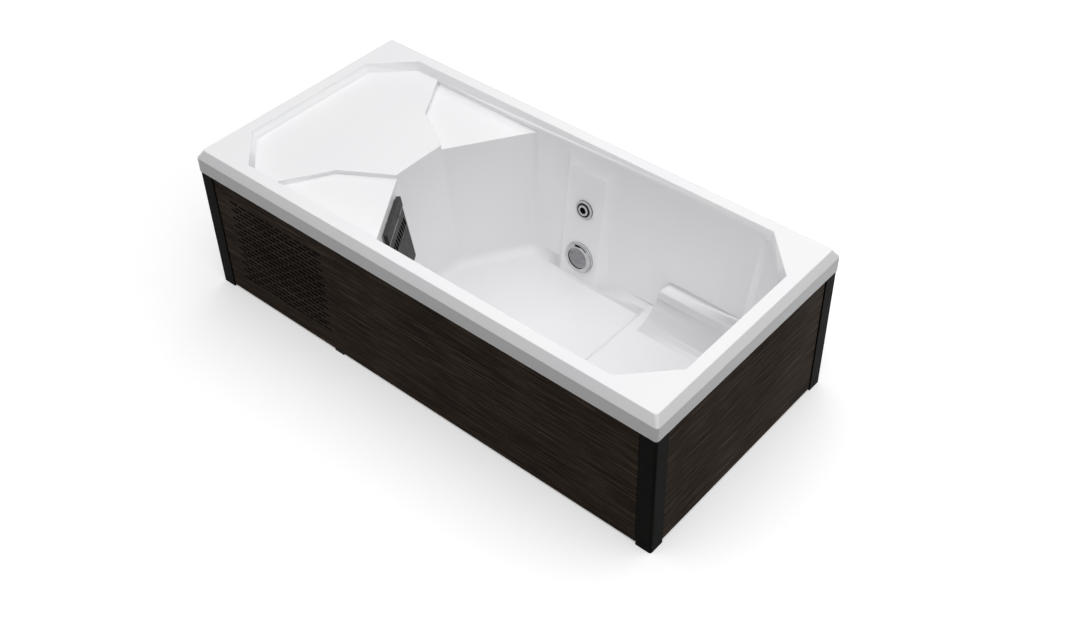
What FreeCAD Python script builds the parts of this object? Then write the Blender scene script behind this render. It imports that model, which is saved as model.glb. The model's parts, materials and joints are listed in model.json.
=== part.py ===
import FreeCAD, Part
import math
import os

from FreeCAD import Vector

# A cold plunge tub: an acrylic shell with a deck over an equipment bay, carried by a welded
# tube frame behind dark skirt panels, with its filter, pump, chiller, jet and drain.
# Millimetres. The origin is on the floor under the middle of the tub. X runs along the tub
# towards the seat, Y runs towards the back, and Z is up.

# Overall size
TUB_LENGTH = 2010.0
TUB_WIDTH = 965.0
TUB_HEIGHT = 597.0
SHELL_WALL = 6.0

# Rim
RIM_FLAT = 44.0
RIM_CHAMFER_RUN = 20.0
RIM_CHAMFER_DROP = 31.0
RIM_BAND = 55.0
RIM_CORNER = 12.0
RIM_EDGE = 4.0

# Opening inside the rim, with cut corners at the deck end and at the seat end
DECK_CUT_LONG = 147.0
DECK_CUT_CROSS = 138.0
SEAT_CUT_LONG = 150.0
SEAT_CUT_CROSS = 156.0
BEVEL_DROP = 32.0
BEVEL_RUN = 16.0

# Deck, its two lower shelves and the three-sided bulkhead under its edge
DECK_LENGTH = 547.0
BULKHEAD_WIDTH = 222.0
WING_RUN = 190.0
SHELF_DROP = 16.0
SHELF_TIP_BACK = 289.0
SHELF_BEND_BACK = 181.0
SHELF_BEND_OUT = 109.0
LIP_EDGE = 2.0

# Basin
FLOOR_RISE = 62.0
WALL_SLOPE = 0.14
FLOOR_FILLET = 45.0
SEAT_END_FILLET = 50.0
BULKHEAD_FILLET = 30.0

# Seat and armrests
SEAT_LENGTH = 541.0
SEAT_RISE = 33.0
SEAT_FRONT_SLOPE = 1.0
ARM_LENGTH = 486.0
ARM_RISE = 163.0
ARM_REACH = 97.0
ARM_FILLET = 15.0
SEAT_FILLET = 110.0

# Flat pad on the back wall that carries the jet and the suction fitting
PAD_FROM_BULKHEAD = 456.0
PAD_WIDTH = 162.0
PAD_PROUD = 21.0
PAD_FLANK_DECK_SIDE = 26.0
PAD_FLANK_SEAT_SIDE = 57.0
PAD_FILLET = 10.0

# Frame of square tube
TUBE = 40.0
TUBE_WALL = 3.0
TOP_RAIL_FIT = 1.0
MID_LEG_FROM_BULKHEAD = 14.0
CROSS_MEMBERS = 3
CROSS_MEMBER_FROM_DRAIN = 120.0
CROSS_MEMBER_FROM_END = 207.0
BAY_MEMBER_FROM_END = 310.0
BASE_SHEET = 4.0
SHEET_FIT = 0.5
FOOT_HEIGHT = 8.0
FOOT_MARGIN = 1.5
BOLT_D = 8.0
BOLT_HEAD_D = 13.0
BOLT_HEAD = 5.3
BOLT_EDGE = 20.0
BOLT_THROUGH = 6.0

# Skirt
POST_FACE = 60.0
POST_INSET = 3.0
POST_THICK = 14.0
POST_CORNER = 9.0
PANEL_INSET = 6.0
PANEL_LIFT = 10.0
PANEL_TOP_GAP = 1.0
PANEL_SIDE_GAP = 4.0
PULL_CLEARANCE = 0.3
CLIP_WIDTH = 26.0
CLIP_HEIGHT = 40.0
CLIP_DEPTH = 12.0
CLIP_TOP_DROP = 70.0

# Air vent in the front panel: staggered rows of slots
VENT_ROWS = 21
VENT_SLOTS = 10
VENT_SLOT_LONG = 40.0
VENT_SLOT_HIGH = 8.0
VENT_PITCH = 46.9
VENT_ROW_PITCH = 17.3
VENT_FROM_END = 160.0
VENT_FROM_FLOOR = 92.0

# Skimmer in the front wing of the bulkhead
GRILLE_WIDTH = 212.0
GRILLE_HEIGHT = 262.0
GRILLE_THICK = 15.0
GRILLE_TOP_DROP = 22.0
GRILLE_EDGE = 5.0
GRILLE_SLOTS = 15
GRILLE_SLOT_WIDE = 5.0
GRILLE_SLOT_PITCH = 12.0
GRILLE_SLOT_HIGH = 62.0
GRILLE_SLOT_DROP = 24.0
GRILLE_NOTCH_WIDE = 30.0
GRILLE_NOTCH_DEEP = 7.0
MOUTH_WIDTH = 176.0
MOUTH_HEIGHT = 222.0
SKIMMER_WALL = 4.0
SKIMMER_DEPTH = 120.0
SKIMMER_LIP = 12.0
GASKET = 2.0
CARTRIDGE_D = 106.0
CARTRIDGE_LENGTH = 92.0
CARTRIDGE_BORE = 46.0
CARTRIDGE_PLEATS = 36
CARTRIDGE_PLEAT_DEEP = 9.0
CARTRIDGE_CAP = 10.0
SKIMMER_PORT_DEPTH = 78.0

# Return jet
JET_DROP = 240.0
JET_FLANGE_D = 74.0
JET_FLANGE = 4.0
JET_BARREL_D = 62.0
JET_BARREL_WALL = 2.5
JET_BARREL_BACK = 26.0
JET_LEDGE = 5.0
JET_COLLAR_D = 54.0
JET_COLLAR_HIGH = 16.0
JET_COLLAR_PROUD = 3.0
JET_BALL_D = 44.0
JET_BALL_HIGH = 18.0
JET_ORIFICE_D = 25.0
JET_NUT_D = 80.0
JET_NUT = 12.0
JET_BODY_D = 74.0

# Suction fitting
SUCTION_RISE = 93.0
SUCTION_RING_D = 122.0
SUCTION_RING = 4.0
SUCTION_COVER_D = 100.0
SUCTION_COVER_HIGH = 8.0
SUCTION_COVER_LEGS = 6
SUCTION_COVER_EDGE = 1.5
SUCTION_LEG_D = 6.0
SUCTION_GAP = 3.5
SCREEN_D = 84.0
SCREEN = 2.5
SCREEN_LIP = 4.0
SCREEN_HOLE_D = 4.0
SCREEN_RINGS = 4
SCREEN_RING_HOLES = 6
SUCTION_BARREL_D = 60.0
SUCTION_BARREL_WALL = 3.0
SUCTION_NUT_D = 84.0
SUCTION_NUT = 14.0
SUCTION_BODY_D = 74.0
SUCTION_BARREL_BACK = 28.0
SCREW_D = 3.0
SCREW_HEAD_D = 5.5
SCREW_HEAD = 1.8

# Pipes
PIPE_D = 50.0
PIPE_WALL = 3.0
RETURN_D = 32.0
RETURN_WALL = 2.5
DRAIN_D = 25.0
DRAIN_WALL = 2.5
PIPE_BEND = 55.0
RETURN_BEND = 42.0
TEE_LENGTH = 80.0
TEE_BRANCH = 48.0
SOCKET_WALL = 4.0
TEE_FROM_BULKHEAD = 46.0
PIPE_STANDOFF = 4.0
SKIMMER_SPOUT = 50.0
SKIMMER_PIPE_RUN = 150.0
SOCKET_FIT = 0.2
SOCKET_DEEP = 20.0

# Pump
PUMP_LENGTH = 210.0
PUMP_MOTOR_D = 124.0
PUMP_FINS = 24
PUMP_FIN_HIGH = 5.0
PUMP_FIN_THICK = 2.5
VOLUTE_D = 140.0
VOLUTE_WIDE = 64.0
VOLUTE_WALL = 6.0
SPOUT_LENGTH = 62.0
IMPELLER_D = 104.0
IMPELLER_HUB_D = 34.0
IMPELLER_VANES = 6
IMPELLER_DISC = 5.0
IMPELLER_VANE = 5.0
IMPELLER_WIDE = 24.0
SHAFT_D = 14.0
SHAFT_FIT = 0.05
SHAFT_DEEP = 60.0
IMPELLER_GAP = 3.0
PUMP_FIN_END = 16.0
PUMP_FOOT_WIDE = 90.0

# Chiller
PLATE = 4.0
CONDENSER_WIDE = 380.0
CONDENSER_HIGH = 330.0
CONDENSER_THICK = 40.0
CONDENSER_GAP = 8.0
CONDENSER_TUBES = 8
CONDENSER_TUBE_D = 9.5
CONDENSER_TUBE_OUT = 14.0
SHROUD_SHEET = 3.0
SHROUD_DEPTH = 34.0
FAN_D = 280.0
FAN_TIP_GAP = 6.0
FAN_HUB_D = 84.0
FAN_HUB_DEEP = 24.0
FAN_BLADES = 5
FAN_BLADE_THICK = 3.0
FAN_BLADE_WIDE = 48.0
FAN_PITCH = 28.0
FAN_SHAFT_D = 8.0
FAN_SHAFT_DEEP = 34.0
FAN_BACK_GAP = 2.0
FAN_MOTOR_D = 82.0
FAN_MOTOR_DEEP = 64.0
FAN_MOTOR_EDGE = 8.0
FAN_BAR_WIDE = 26.0
FAN_BAR_THICK = 5.0
COMPRESSOR_D = 130.0
COMPRESSOR_HIGH = 225.0
COMPRESSOR_DOME = 30.0
COMPRESSOR_FROM_END = 90.0
COMPRESSOR_GAP = 8.0
COMPRESSOR_FLANGE = 6.0
EXCHANGER_D = 110.0
EXCHANGER_HIGH = 390.0
EXCHANGER_CAP = 24.0
EXCHANGER_CAP_OUT = 6.0
EXCHANGER_WALL = 5.0
GAS_PIPE_D = 9.5
GAS_PIPE_BEND = 15.0
HOT_GAS_TUBE = 2
LIQUID_TUBE = 0
CONTROL_DEEP = 95.0
CONTROL_WIDE = 220.0
CONTROL_HIGH = 200.0
CONTROL_LID = 12.0
CONTROL_WALL = 3.0
CONTROL_GAP = 14.0
CONTROL_EDGE = 3.0

# Drain and power inlet in a recess of the deck end panel
DRAIN_FROM_BULKHEAD = 335.0
DRAIN_FROM_WALL = 102.0
DRAIN_TAIL_D = 46.0
STRAINER_D = 70.0
STRAINER = 4.0
STRAINER_HOLES = 12
STRAINER_HOLE_D = 6.0
DRAIN_BEND = 45.0
DRAIN_RISE_RUN = 120.0
RECESS_WIDE = 170.0
RECESS_HIGH = 120.0
RECESS_DEEP = 62.0
RECESS_WALL = 3.0
RECESS_FLANGE = 10.0
RECESS_LIFT = 8.0
RECESS_LIP = 2.0
SPIGOT_D = 27.0
SPIGOT_LENGTH = 22.0
SPIGOT_SETBACK = 2.0
VALVE_D = 36.0
VALVE_BACK = 34.0
STEM_D = 9.0
STEM_FLOOR = 2.0
STEM_SETBACK = 11.0
HANDLE_LENGTH = 42.0
HANDLE_WIDE = 9.0
HANDLE_HIGH = 12.0
HANDLE_GAP = 4.0
GLAND_D = 26.0
GLAND_BORE = 12.0
GLAND_THREAD_D = 20.0
GLAND_OUT = 24.0
GLAND_BACK = 14.0
GLAND_ACROSS = 48.0
GLAND_EDGE = 3.25

# How near two edges count as being at the same place
SAME_PLACE = 1e-5

# Places that follow from the sizes above
half_length = TUB_LENGTH / 2
half_width = TUB_WIDTH / 2
rim_top = TUB_HEIGHT
band_top = rim_top - RIM_CHAMFER_DROP
rim_bottom = band_top - RIM_BAND
open_x = half_length - RIM_CHAMFER_RUN - RIM_FLAT
open_y = half_width - RIM_CHAMFER_RUN - RIM_FLAT
wall_x = open_x - BEVEL_RUN
wall_y = open_y - BEVEL_RUN
deck_z = rim_top - BEVEL_DROP
shelf_z = deck_z - SHELF_DROP
floor_z = FLOOR_RISE
basin_depth = rim_top - floor_z
floor_inset = WALL_SLOPE * (deck_z - floor_z)
seat_z = floor_z + SEAT_RISE
suction_drop = basin_depth - SUCTION_RISE
arm_z = floor_z + ARM_RISE
bulkhead_x = DECK_LENGTH - open_x
bulkhead_y = BULKHEAD_WIDTH / 2
pad_x = bulkhead_x + PAD_FROM_BULKHEAD
post_y = half_width - POST_INSET
post_x = half_length - POST_INSET
leg_y = post_y - POST_THICK
leg_x = post_x - POST_THICK
panel_y = half_width - PANEL_INSET
panel_x = half_length - PANEL_INSET
panel_top = rim_bottom - PANEL_TOP_GAP
rail_top = floor_z - SHELL_WALL
rail_bottom = rail_top - TUBE
top_rail = RIM_FLAT - 2 * (SHELL_WALL + TOP_RAIL_FIT)
top_rail_x = half_length - RIM_CHAMFER_RUN - SHELL_WALL - TOP_RAIL_FIT
top_rail_y = half_width - RIM_CHAMFER_RUN - SHELL_WALL - TOP_RAIL_FIT
ring_top = rim_top - SHELL_WALL
ring_bottom = ring_top - top_rail
plate_z = rail_top + PLATE
mid_leg_x = bulkhead_x + MID_LEG_FROM_BULKHEAD
bay_x = TUBE - leg_x
lean = math.hypot(1, WALL_SLOPE)
drain_x = bulkhead_x + DRAIN_FROM_BULKHEAD
drain_y = floor_inset + DRAIN_FROM_WALL - wall_y
drain_z = (rail_top + rail_bottom) / 2
recess_z = rail_top + RECESS_LIFT + RECESS_HIGH / 2
recess_back_x = RECESS_DEEP - panel_x
valve_front_x = SPIGOT_LENGTH + SPIGOT_SETBACK - panel_x
stem_x = valve_front_x + STEM_SETBACK
stem_bottom = recess_z + DRAIN_D / 2 - DRAIN_WALL + STEM_FLOOR
tee_x = bulkhead_x - TEE_FROM_BULKHEAD
volute_x = tee_x - TEE_LENGTH / 2 + SOCKET_DEEP - SPOUT_LENGTH
pump_x = volute_x - VOLUTE_WIDE / 2
vent_x = VENT_FROM_END - half_length + VENT_PITCH * (VENT_SLOTS - 1) / 2
condenser_y = CONDENSER_GAP - leg_y
shroud_y = condenser_y + CONDENSER_THICK
ring_y = shroud_y + SHROUD_SHEET + SHROUD_DEPTH
fan_motor_y = ring_y + FAN_BAR_THICK
fan_z = plate_z + CONDENSER_HIGH / 2
compressor_x = bay_x + COMPRESSOR_FROM_END
compressor_y = COMPRESSOR_D / 2 + COMPRESSOR_GAP + VALVE_D / 2 + drain_y


def block(x0, y0, z0, x1, y1, z1):
    """A box between two opposite corners."""
    return Part.makeBox(x1 - x0, y1 - y0, z1 - z0, Vector(x0, y0, z0))


def rod(diameter, start, end):
    """A round bar from one point to another."""
    run = Vector(*end) - Vector(*start)
    return Part.makeCylinder(diameter / 2, run.Length, Vector(*start), run)


def sleeve(outer, inner, start, end):
    """A round tube from one point to another."""
    return rod(outer, start, end).cut(rod(inner, start, end))


def outline(points, z):
    """A closed polygon at one height."""
    corners = [Vector(x, y, z) for x, y in points]
    return Part.makePolygon(corners + corners[:1])


def prism(points, z0, z1):
    """An upright prism on a polygon."""
    return Part.Face(outline(points, z0)).extrude(Vector(0, 0, z1 - z0))


def taper(low, z_low, high, z_high):
    """A solid with flat sloping sides between two polygons whose sides are parallel."""
    feet = [Vector(x, y, z_low) for x, y in low]
    tops = [Vector(x, y, z_high) for x, y in high]
    rings = [feet[::-1], tops]
    for i in range(len(feet)):
        rings.append([feet[i - 1], feet[i], tops[i], tops[i - 1]])
    shell = Part.makeShell([Part.Face(Part.makePolygon(ring + ring[:1])) for ring in rings])
    shell.sewShape()
    return Part.makeSolid(shell)


def inset(points, distance):
    """Move every side of an anticlockwise convex polygon inwards."""
    moved = []
    count = len(points)
    for i in range(count):
        before, here, after = points[i - 1], points[i], points[(i + 1) % count]
        ax, ay = here[0] - before[0], here[1] - before[1]
        bx, by = after[0] - here[0], after[1] - here[1]
        a_long, b_long = math.hypot(ax, ay), math.hypot(bx, by)
        n1 = (-ay / a_long, ax / a_long)
        n2 = (-by / b_long, bx / b_long)
        reach = distance / (1 + n1[0] * n2[0] + n1[1] * n2[1])
        moved.append((here[0] + reach * (n1[0] + n2[0]), here[1] + reach * (n1[1] + n2[1])))
    return moved


def rounded_rectangle(half_x, half_y, radius, z):
    """A centred rectangle with round corners, as a closed wire."""
    cut = radius * (1 - math.sqrt(0.5))
    edges = []
    corners = [(1, -1), (1, 1), (-1, 1), (-1, -1)]
    ends = []
    for sx, sy in corners:
        along_x = Vector(sx * (half_x - radius), sy * half_y, z)
        along_y = Vector(sx * half_x, sy * (half_y - radius), z)
        middle = Vector(sx * (half_x - cut), sy * (half_y - cut), z)
        first, last = (along_x, along_y) if sx * sy < 0 else (along_y, along_x)
        ends.append((first, middle, last))
    for i, (first, middle, last) in enumerate(ends):
        edges.append(Part.Arc(first, middle, last).toShape())
        edges.append(Part.LineSegment(last, ends[(i + 1) % 4][0]).toShape())
    return Part.Wire(edges)


def fuse_all(shapes):
    """One solid from several that touch or overlap."""
    return shapes[0].fuse(shapes[1:]).removeSplitter()


def set_on(shape, origin, out, along):
    """Move a shape made at the origin so that its Z points along out and its X along the other."""
    turn = FreeCAD.Rotation(along, out.cross(along), out, "ZXY")
    placed = shape.copy()
    placed.Placement = FreeCAD.Placement(origin, turn).multiply(shape.Placement)
    return placed


def bent_path(points, bend):
    """A path of straight runs joined by tangent arcs of one radius."""
    corners = [Vector(*point) for point in points]
    edges = []
    start = corners[0]
    for before, here, after in zip(corners, corners[1:], corners[2:]):
        arrive = (here - before).normalize()
        leave = (after - here).normalize()
        turn = arrive.getAngle(leave)
        cut = bend * math.tan(turn / 2)
        enter = here - arrive * cut
        exit_point = here + leave * cut
        inward = (leave - arrive).normalize()
        middle = here + inward * (bend / math.cos(turn / 2) - bend)
        edges.append(Part.LineSegment(start, enter).toShape())
        edges.append(Part.Arc(enter, middle, exit_point).toShape())
        start = exit_point
    edges.append(Part.LineSegment(start, corners[-1]).toShape())
    return Part.Wire(edges)


def bent_bar(points, bend, diameter):
    """A round bar along a bent path."""
    path = bent_path(points, bend)
    start = Vector(*points[0])
    run = Vector(*points[1]) - start
    circle = Part.Wire(Part.makeCircle(diameter / 2, start, run))
    return path.makePipeShell([circle], True, True)


def bent_pipe(points, bend, diameter, wall):
    """A hollow pipe along a bent path."""
    return bent_bar(points, bend, diameter).cut(bent_bar(points, bend, diameter - 2 * wall))


def rim_opening():
    """The opening inside the rim's flat, a rectangle with four cut corners."""
    return [
        (-open_x + DECK_CUT_LONG, -open_y), (open_x - SEAT_CUT_LONG, -open_y),
        (open_x, -open_y + SEAT_CUT_CROSS), (open_x, open_y - SEAT_CUT_CROSS),
        (open_x - SEAT_CUT_LONG, open_y), (-open_x + DECK_CUT_LONG, open_y),
        (-open_x, open_y - DECK_CUT_CROSS), (-open_x, -open_y + DECK_CUT_CROSS),
    ]


def basin_outline():
    """The basin at deck level: the bulkhead's three facets, two walls and the seat end."""
    seat_end = inset(rim_opening(), BEVEL_RUN)[1:5]
    wing_x = bulkhead_x + WING_RUN
    deck_end = [(wing_x, wall_y), (bulkhead_x, bulkhead_y), (bulkhead_x, -bulkhead_y), (wing_x, -wall_y)]
    return seat_end + deck_end


def shelf_outline(side, overlap):
    """One shelf of the deck, reaching past the bulkhead's wing into the open basin."""
    wing_x = bulkhead_x + WING_RUN
    wing_long = math.hypot(WING_RUN, wall_y - bulkhead_y)
    over_x = overlap * (wall_y - bulkhead_y) / wing_long
    over_y = overlap * WING_RUN / wing_long
    points = [
        (bulkhead_x - SHELF_TIP_BACK, -wall_y), (wing_x + over_x, -wall_y),
        (wing_x + over_x, -wall_y + over_y), (bulkhead_x + over_x, -bulkhead_y + over_y),
        (bulkhead_x, -bulkhead_y), (bulkhead_x - SHELF_BEND_BACK, -bulkhead_y - SHELF_BEND_OUT),
    ]
    if side < 0:
        return points
    return [(x, -y) for x, y in reversed(points)]


def pad_form(shrink):
    """The pad on the back wall, with its top sloping up to the bevel of the rim."""
    left = pad_x - PAD_WIDTH / 2
    right = pad_x + PAD_WIDTH / 2
    behind = PAD_PROUD

    def section(y):
        plan = [
            (left - 2 * PAD_FLANK_DECK_SIDE, y + behind), (left, y - PAD_PROUD),
            (right, y - PAD_PROUD), (right + 2 * PAD_FLANK_SEAT_SIDE, y + behind),
        ]
        return inset(plan, shrink * lean)

    low = section(wall_y - floor_inset - WALL_SLOPE * shrink)
    high = section(wall_y)
    body = taper(low, floor_z - shrink, high, deck_z)
    slope = BEVEL_RUN / BEVEL_DROP
    bevel_wall = shrink * math.hypot(1, slope)
    far_drop = 2 * basin_depth
    wedge_points = [
        Vector(0, open_y + bevel_wall, rim_top),
        Vector(0, open_y + bevel_wall - slope * far_drop, rim_top - far_drop),
        Vector(0, open_y + basin_depth, rim_top - far_drop),
        Vector(0, open_y + basin_depth, rim_top),
    ]
    wedge = Part.Face(Part.makePolygon(wedge_points + wedge_points[:1])).extrude(Vector(TUB_LENGTH, 0, 0))
    wedge.translate(Vector(-half_length, 0, 0))
    pad = body.common(wedge)
    back_y = max(e.CenterOfMass.y for e in uprights(pad))
    corners = [e for e in uprights(pad) if e.CenterOfMass.y < back_y - PAD_PROUD / 2]
    return pad.makeFillet(PAD_FILLET - shrink, corners)


def seat_form(shrink):
    """The raised seat pan and the two armrests beside it, as one solid that stands in the basin."""
    arm_foot = WALL_SLOPE * (arm_z - floor_z)
    pan_foot = SEAT_FRONT_SLOPE * SEAT_RISE
    pan_front = wall_x - SEAT_LENGTH
    pan = [(pan_front, -open_y), (half_length, -open_y), (half_length, open_y), (pan_front, open_y)]
    solids = [taper(inset(pan, shrink - pan_foot), floor_z - shrink, inset(pan, shrink), seat_z - shrink)]
    arm_front = wall_x - ARM_LENGTH
    arm_side = wall_y - ARM_REACH
    for side in (-1, 1):
        y0, y1 = sorted((side * arm_side, side * (open_y + arm_foot)))
        plan = [(arm_front, y0), (half_length, y0), (half_length, y1), (arm_front, y1)]
        foot = inset(plan, shrink - arm_foot)
        solids.append(taper(foot, floor_z - shrink, inset(plan, shrink), arm_z - shrink))
    seat = fuse_all(solids)
    roots = [e for e in seat.Edges if is_level(e, seat_z - shrink) and along_x(e)]
    roots = [e for e in roots if abs(e.CenterOfMass.y) < wall_y]
    seat = seat.makeFillet(SEAT_FILLET + shrink, roots)
    tops = [e for e in seat.Edges if is_level(e, arm_z - shrink) and e.CenterOfMass.x < wall_x]
    tops = [e for e in tops if abs(e.CenterOfMass.y) < wall_y]
    return seat.makeFillet(ARM_FILLET - shrink, tops)


def is_level(edge, z):
    """Whether an edge lies at one height."""
    return abs(edge.BoundBox.ZMin - z) < SAME_PLACE and abs(edge.BoundBox.ZMax - z) < SAME_PLACE


def along_x(edge):
    """Whether an edge runs along the tub."""
    return edge.BoundBox.XLength > edge.BoundBox.YLength


def uprights(solid):
    """The straight edges of a solid that climb most of the basin's depth."""
    tall = [e for e in solid.Edges if e.BoundBox.ZLength > basin_depth / 2]
    return [e for e in tall if e.Curve.TypeId == "Part::GeomLine"]


def basin_form(grow):
    """The basin's open space, or the same grown by the shell's wall."""
    high = inset(basin_outline(), -grow * lean)
    low = inset(basin_outline(), floor_inset + (WALL_SLOPE - lean) * grow)
    basin = taper(low, floor_z - grow, high, deck_z)
    seat_end = [e for e in uprights(basin) if e.CenterOfMass.x > 0]
    basin = basin.makeFillet(SEAT_END_FILLET + grow, seat_end)
    deck_end = [e for e in uprights(basin) if e.CenterOfMass.x < 0]
    basin = basin.makeFillet(BULKHEAD_FILLET + grow, deck_end)
    bottom = [e for e in basin.Edges if is_level(e, floor_z - grow)]
    basin = basin.makeFillet(FLOOR_FILLET + grow, bottom)
    return basin.cut([seat_form(grow), pad_form(grow)])


def cavity(grow):
    """All the space that is open above the shell, or the same grown by the shell's wall."""
    opening = rim_opening()
    bevel = taper(inset(opening, BEVEL_RUN - grow), deck_z - grow, inset(opening, -grow), rim_top)
    overlap = SHELF_DROP
    shelves = [prism(inset(shelf_outline(side, overlap), -grow), shelf_z - grow, deck_z) for side in (-1, 1)]
    return fuse_all([bevel, basin_form(grow)] + shelves)


def rim_form(thin, top):
    """The rim as a full slab with a chamfered top edge, or its inside."""
    x0, y0 = half_length - thin, half_width - thin
    radius = RIM_CORNER - thin
    x1, y1 = x0 - RIM_CHAMFER_RUN, y0 - RIM_CHAMFER_RUN
    band = Part.Face(rounded_rectangle(x0, y0, radius, rim_bottom)).extrude(Vector(0, 0, RIM_BAND))
    wires = [rounded_rectangle(x0, y0, radius, band_top), rounded_rectangle(x1, y1, radius, top)]
    return band.fuse(Part.makeLoft(wires, True, True)).removeSplitter()


def pad_point(drop):
    """The middle of the pad's face at a given drop below the rim."""
    y = wall_y - PAD_PROUD - WALL_SLOPE * (drop - BEVEL_DROP)
    return Vector(pad_x, y, rim_top - drop)


def on_pad(shape, drop):
    """Set a shape on the pad's face, with its Z out of the wall and its Y up the wall."""
    return set_on(shape, pad_point(drop), Vector(0, -1 / lean, WALL_SLOPE / lean), Vector(1, 0, 0))


def wing_normal():
    """The level direction that the front wing of the bulkhead faces."""
    return Vector(wall_y - bulkhead_y, WING_RUN, 0).normalize()


def on_wing(shape, drop):
    """Set a shape on the front wing's face, with its Z out of the wall and its Y up the wall."""
    facing = wing_normal()
    middle = Vector(bulkhead_x + WING_RUN / 2, -(bulkhead_y + wall_y) / 2, rim_top - drop)
    middle += facing * (WALL_SLOPE * (drop - BEVEL_DROP))
    out = (facing + Vector(0, 0, WALL_SLOPE)).normalize()
    return set_on(shape, middle, out, Vector(-facing.y, facing.x, 0))


def outer_wall_y(z):
    """The outside of the shell's back wall at a height."""
    return wall_y + SHELL_WALL * lean - WALL_SLOPE * (deck_z - z)


def behind_pad(drop, pipe_d):
    """How far behind the pad's face a pipe along the back wall runs, measured square to the pad."""
    face = pad_point(drop)
    pipe_y = outer_wall_y(face.z + pipe_d / 2) + SOCKET_WALL + pipe_d / 2 + PIPE_STANDOFF
    return (pipe_y - face.y) * lean


def port_point(drop, pipe_d):
    """Where the pipe along the back wall meets the fitting's body."""
    depth = behind_pad(drop, pipe_d)
    return pad_point(drop) + Vector(0, depth / lean, -depth * WALL_SLOPE / lean)


def grille_drop():
    """The drop of the grille's middle below the rim."""
    return BEVEL_DROP + SHELF_DROP + GRILLE_TOP_DROP + GRILLE_HEIGHT / 2


def acrylic_shell():
    """The moulded shell, with the holes for its fittings."""
    shell = rim_form(0.0, rim_top).cut(rim_form(SHELL_WALL, rim_top - SHELL_WALL))
    shell = shell.fuse(cavity(SHELL_WALL)).cut(cavity(0.0))
    through = 4 * SHELL_WALL
    drain_top = (drain_x, drain_y, floor_z + through)
    holes = [
        on_pad(rod(JET_BARREL_D + 2 * SOCKET_FIT, (0, 0, -through), (0, 0, through)), JET_DROP),
        on_pad(rod(SUCTION_BARREL_D + 2 * SOCKET_FIT, (0, 0, -through), (0, 0, through)), suction_drop),
        on_wing(plate_block(MOUTH_WIDTH, MOUTH_HEIGHT, -through, through), grille_drop()),
        rod(DRAIN_TAIL_D + 2 * SOCKET_FIT, (drain_x, drain_y, 0), drain_top),
    ]
    return soften(shell.cut(holes).removeSplitter())


def soften(shell):
    """Round the rim's edges, then the lips of the bulkhead, of its wings and of the steps in the deck."""
    wall = wall_y - SAME_PLACE
    groups = [
        (RIM_EDGE, rim_top, -half_length, half_length, half_width),
        (RIM_EDGE, band_top, -half_length, half_length, half_width + SAME_PLACE),
        (LIP_EDGE, deck_z, bulkhead_x - LIP_EDGE, pad_x, bulkhead_y),
        (LIP_EDGE, shelf_z, bulkhead_x, pad_x, wall),
        (LIP_EDGE, deck_z, bulkhead_x - SHELF_TIP_BACK, bulkhead_x - LIP_EDGE, wall),
    ]
    for radius, z, low_x, high_x, reach_y in groups:
        edges = [e for e in shell.Edges if is_level(e, z) and low_x - SAME_PLACE < e.CenterOfMass.x]
        edges = [e for e in edges if e.CenterOfMass.x < high_x + SAME_PLACE]
        shell = shell.makeFillet(radius, [e for e in edges if abs(e.CenterOfMass.y) < reach_y])
    return shell


def plate_block(wide, high, z0, z1):
    """A block centred on the Z axis."""
    return block(-wide / 2, -high / 2, z0, wide / 2, high / 2, z1)


def square_tube(x0, y0, z0, x1, y1, z1):
    """A hollow square tube along its longest side, open at both ends."""
    sides = {"x": x1 - x0, "y": y1 - y0, "z": z1 - z0}
    longest = max(sides, key=sides.get)
    tx, ty, tz = [0 if longest == axis else TUBE_WALL for axis in "xyz"]
    core = block(x0 + tx, y0 + ty, z0 + tz, x1 - tx, y1 - ty, z1 - tz)
    return block(x0, y0, z0, x1, y1, z1).cut(core)


def base_rails():
    """Two long rails and two end rails between the legs."""
    inner_x, inner_y = leg_x - TUBE, leg_y - TUBE
    rails = []
    for side in (-1, 1):
        y0, y1 = sorted((side * inner_y, side * leg_y))
        rails.append(square_tube(-inner_x, y0, rail_bottom, mid_leg_x - TUBE / 2, y1, rail_top))
        rails.append(square_tube(mid_leg_x + TUBE / 2, y0, rail_bottom, inner_x, y1, rail_top))
        x0, x1 = sorted((side * inner_x, side * leg_x))
        rails.append(square_tube(x0, -inner_y, rail_bottom, x1, inner_y, rail_top))
    return Part.makeCompound([rail.cut(plate_bolt_holes()) for rail in rails])


def cross_members():
    """Tubes across the base that carry the basin floor and the equipment plate."""
    inner_y = leg_y - TUBE
    first = drain_x + CROSS_MEMBER_FROM_DRAIN
    pitch = (leg_x - TUBE - CROSS_MEMBER_FROM_END - first) / (CROSS_MEMBERS - 1)
    places = [first + i * pitch for i in range(CROSS_MEMBERS)]
    places.append(bay_x + BAY_MEMBER_FROM_END)
    bars = [square_tube(x - TUBE / 2, -inner_y, rail_bottom, x + TUBE / 2, inner_y, rail_top) for x in places]
    return Part.makeCompound(bars)


def leg_places():
    """The corner of each leg nearest the tub's middle, with the sides it faces."""
    inner_x, inner_y = leg_x - TUBE, leg_y - TUBE
    return [(sx, sy, sx * inner_x, sy * inner_y) for sx in (-1, 1) for sy in (-1, 1)]


def corner_legs():
    """Four upright tubes, one in each corner."""
    legs = []
    for sx, sy, x, y in leg_places():
        x0, x1 = sorted((x, x + sx * TUBE))
        y0, y1 = sorted((y, y + sy * TUBE))
        legs.append(square_tube(x0, y0, FOOT_HEIGHT, x1, y1, ring_bottom))
    return Part.makeCompound(legs)


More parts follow.
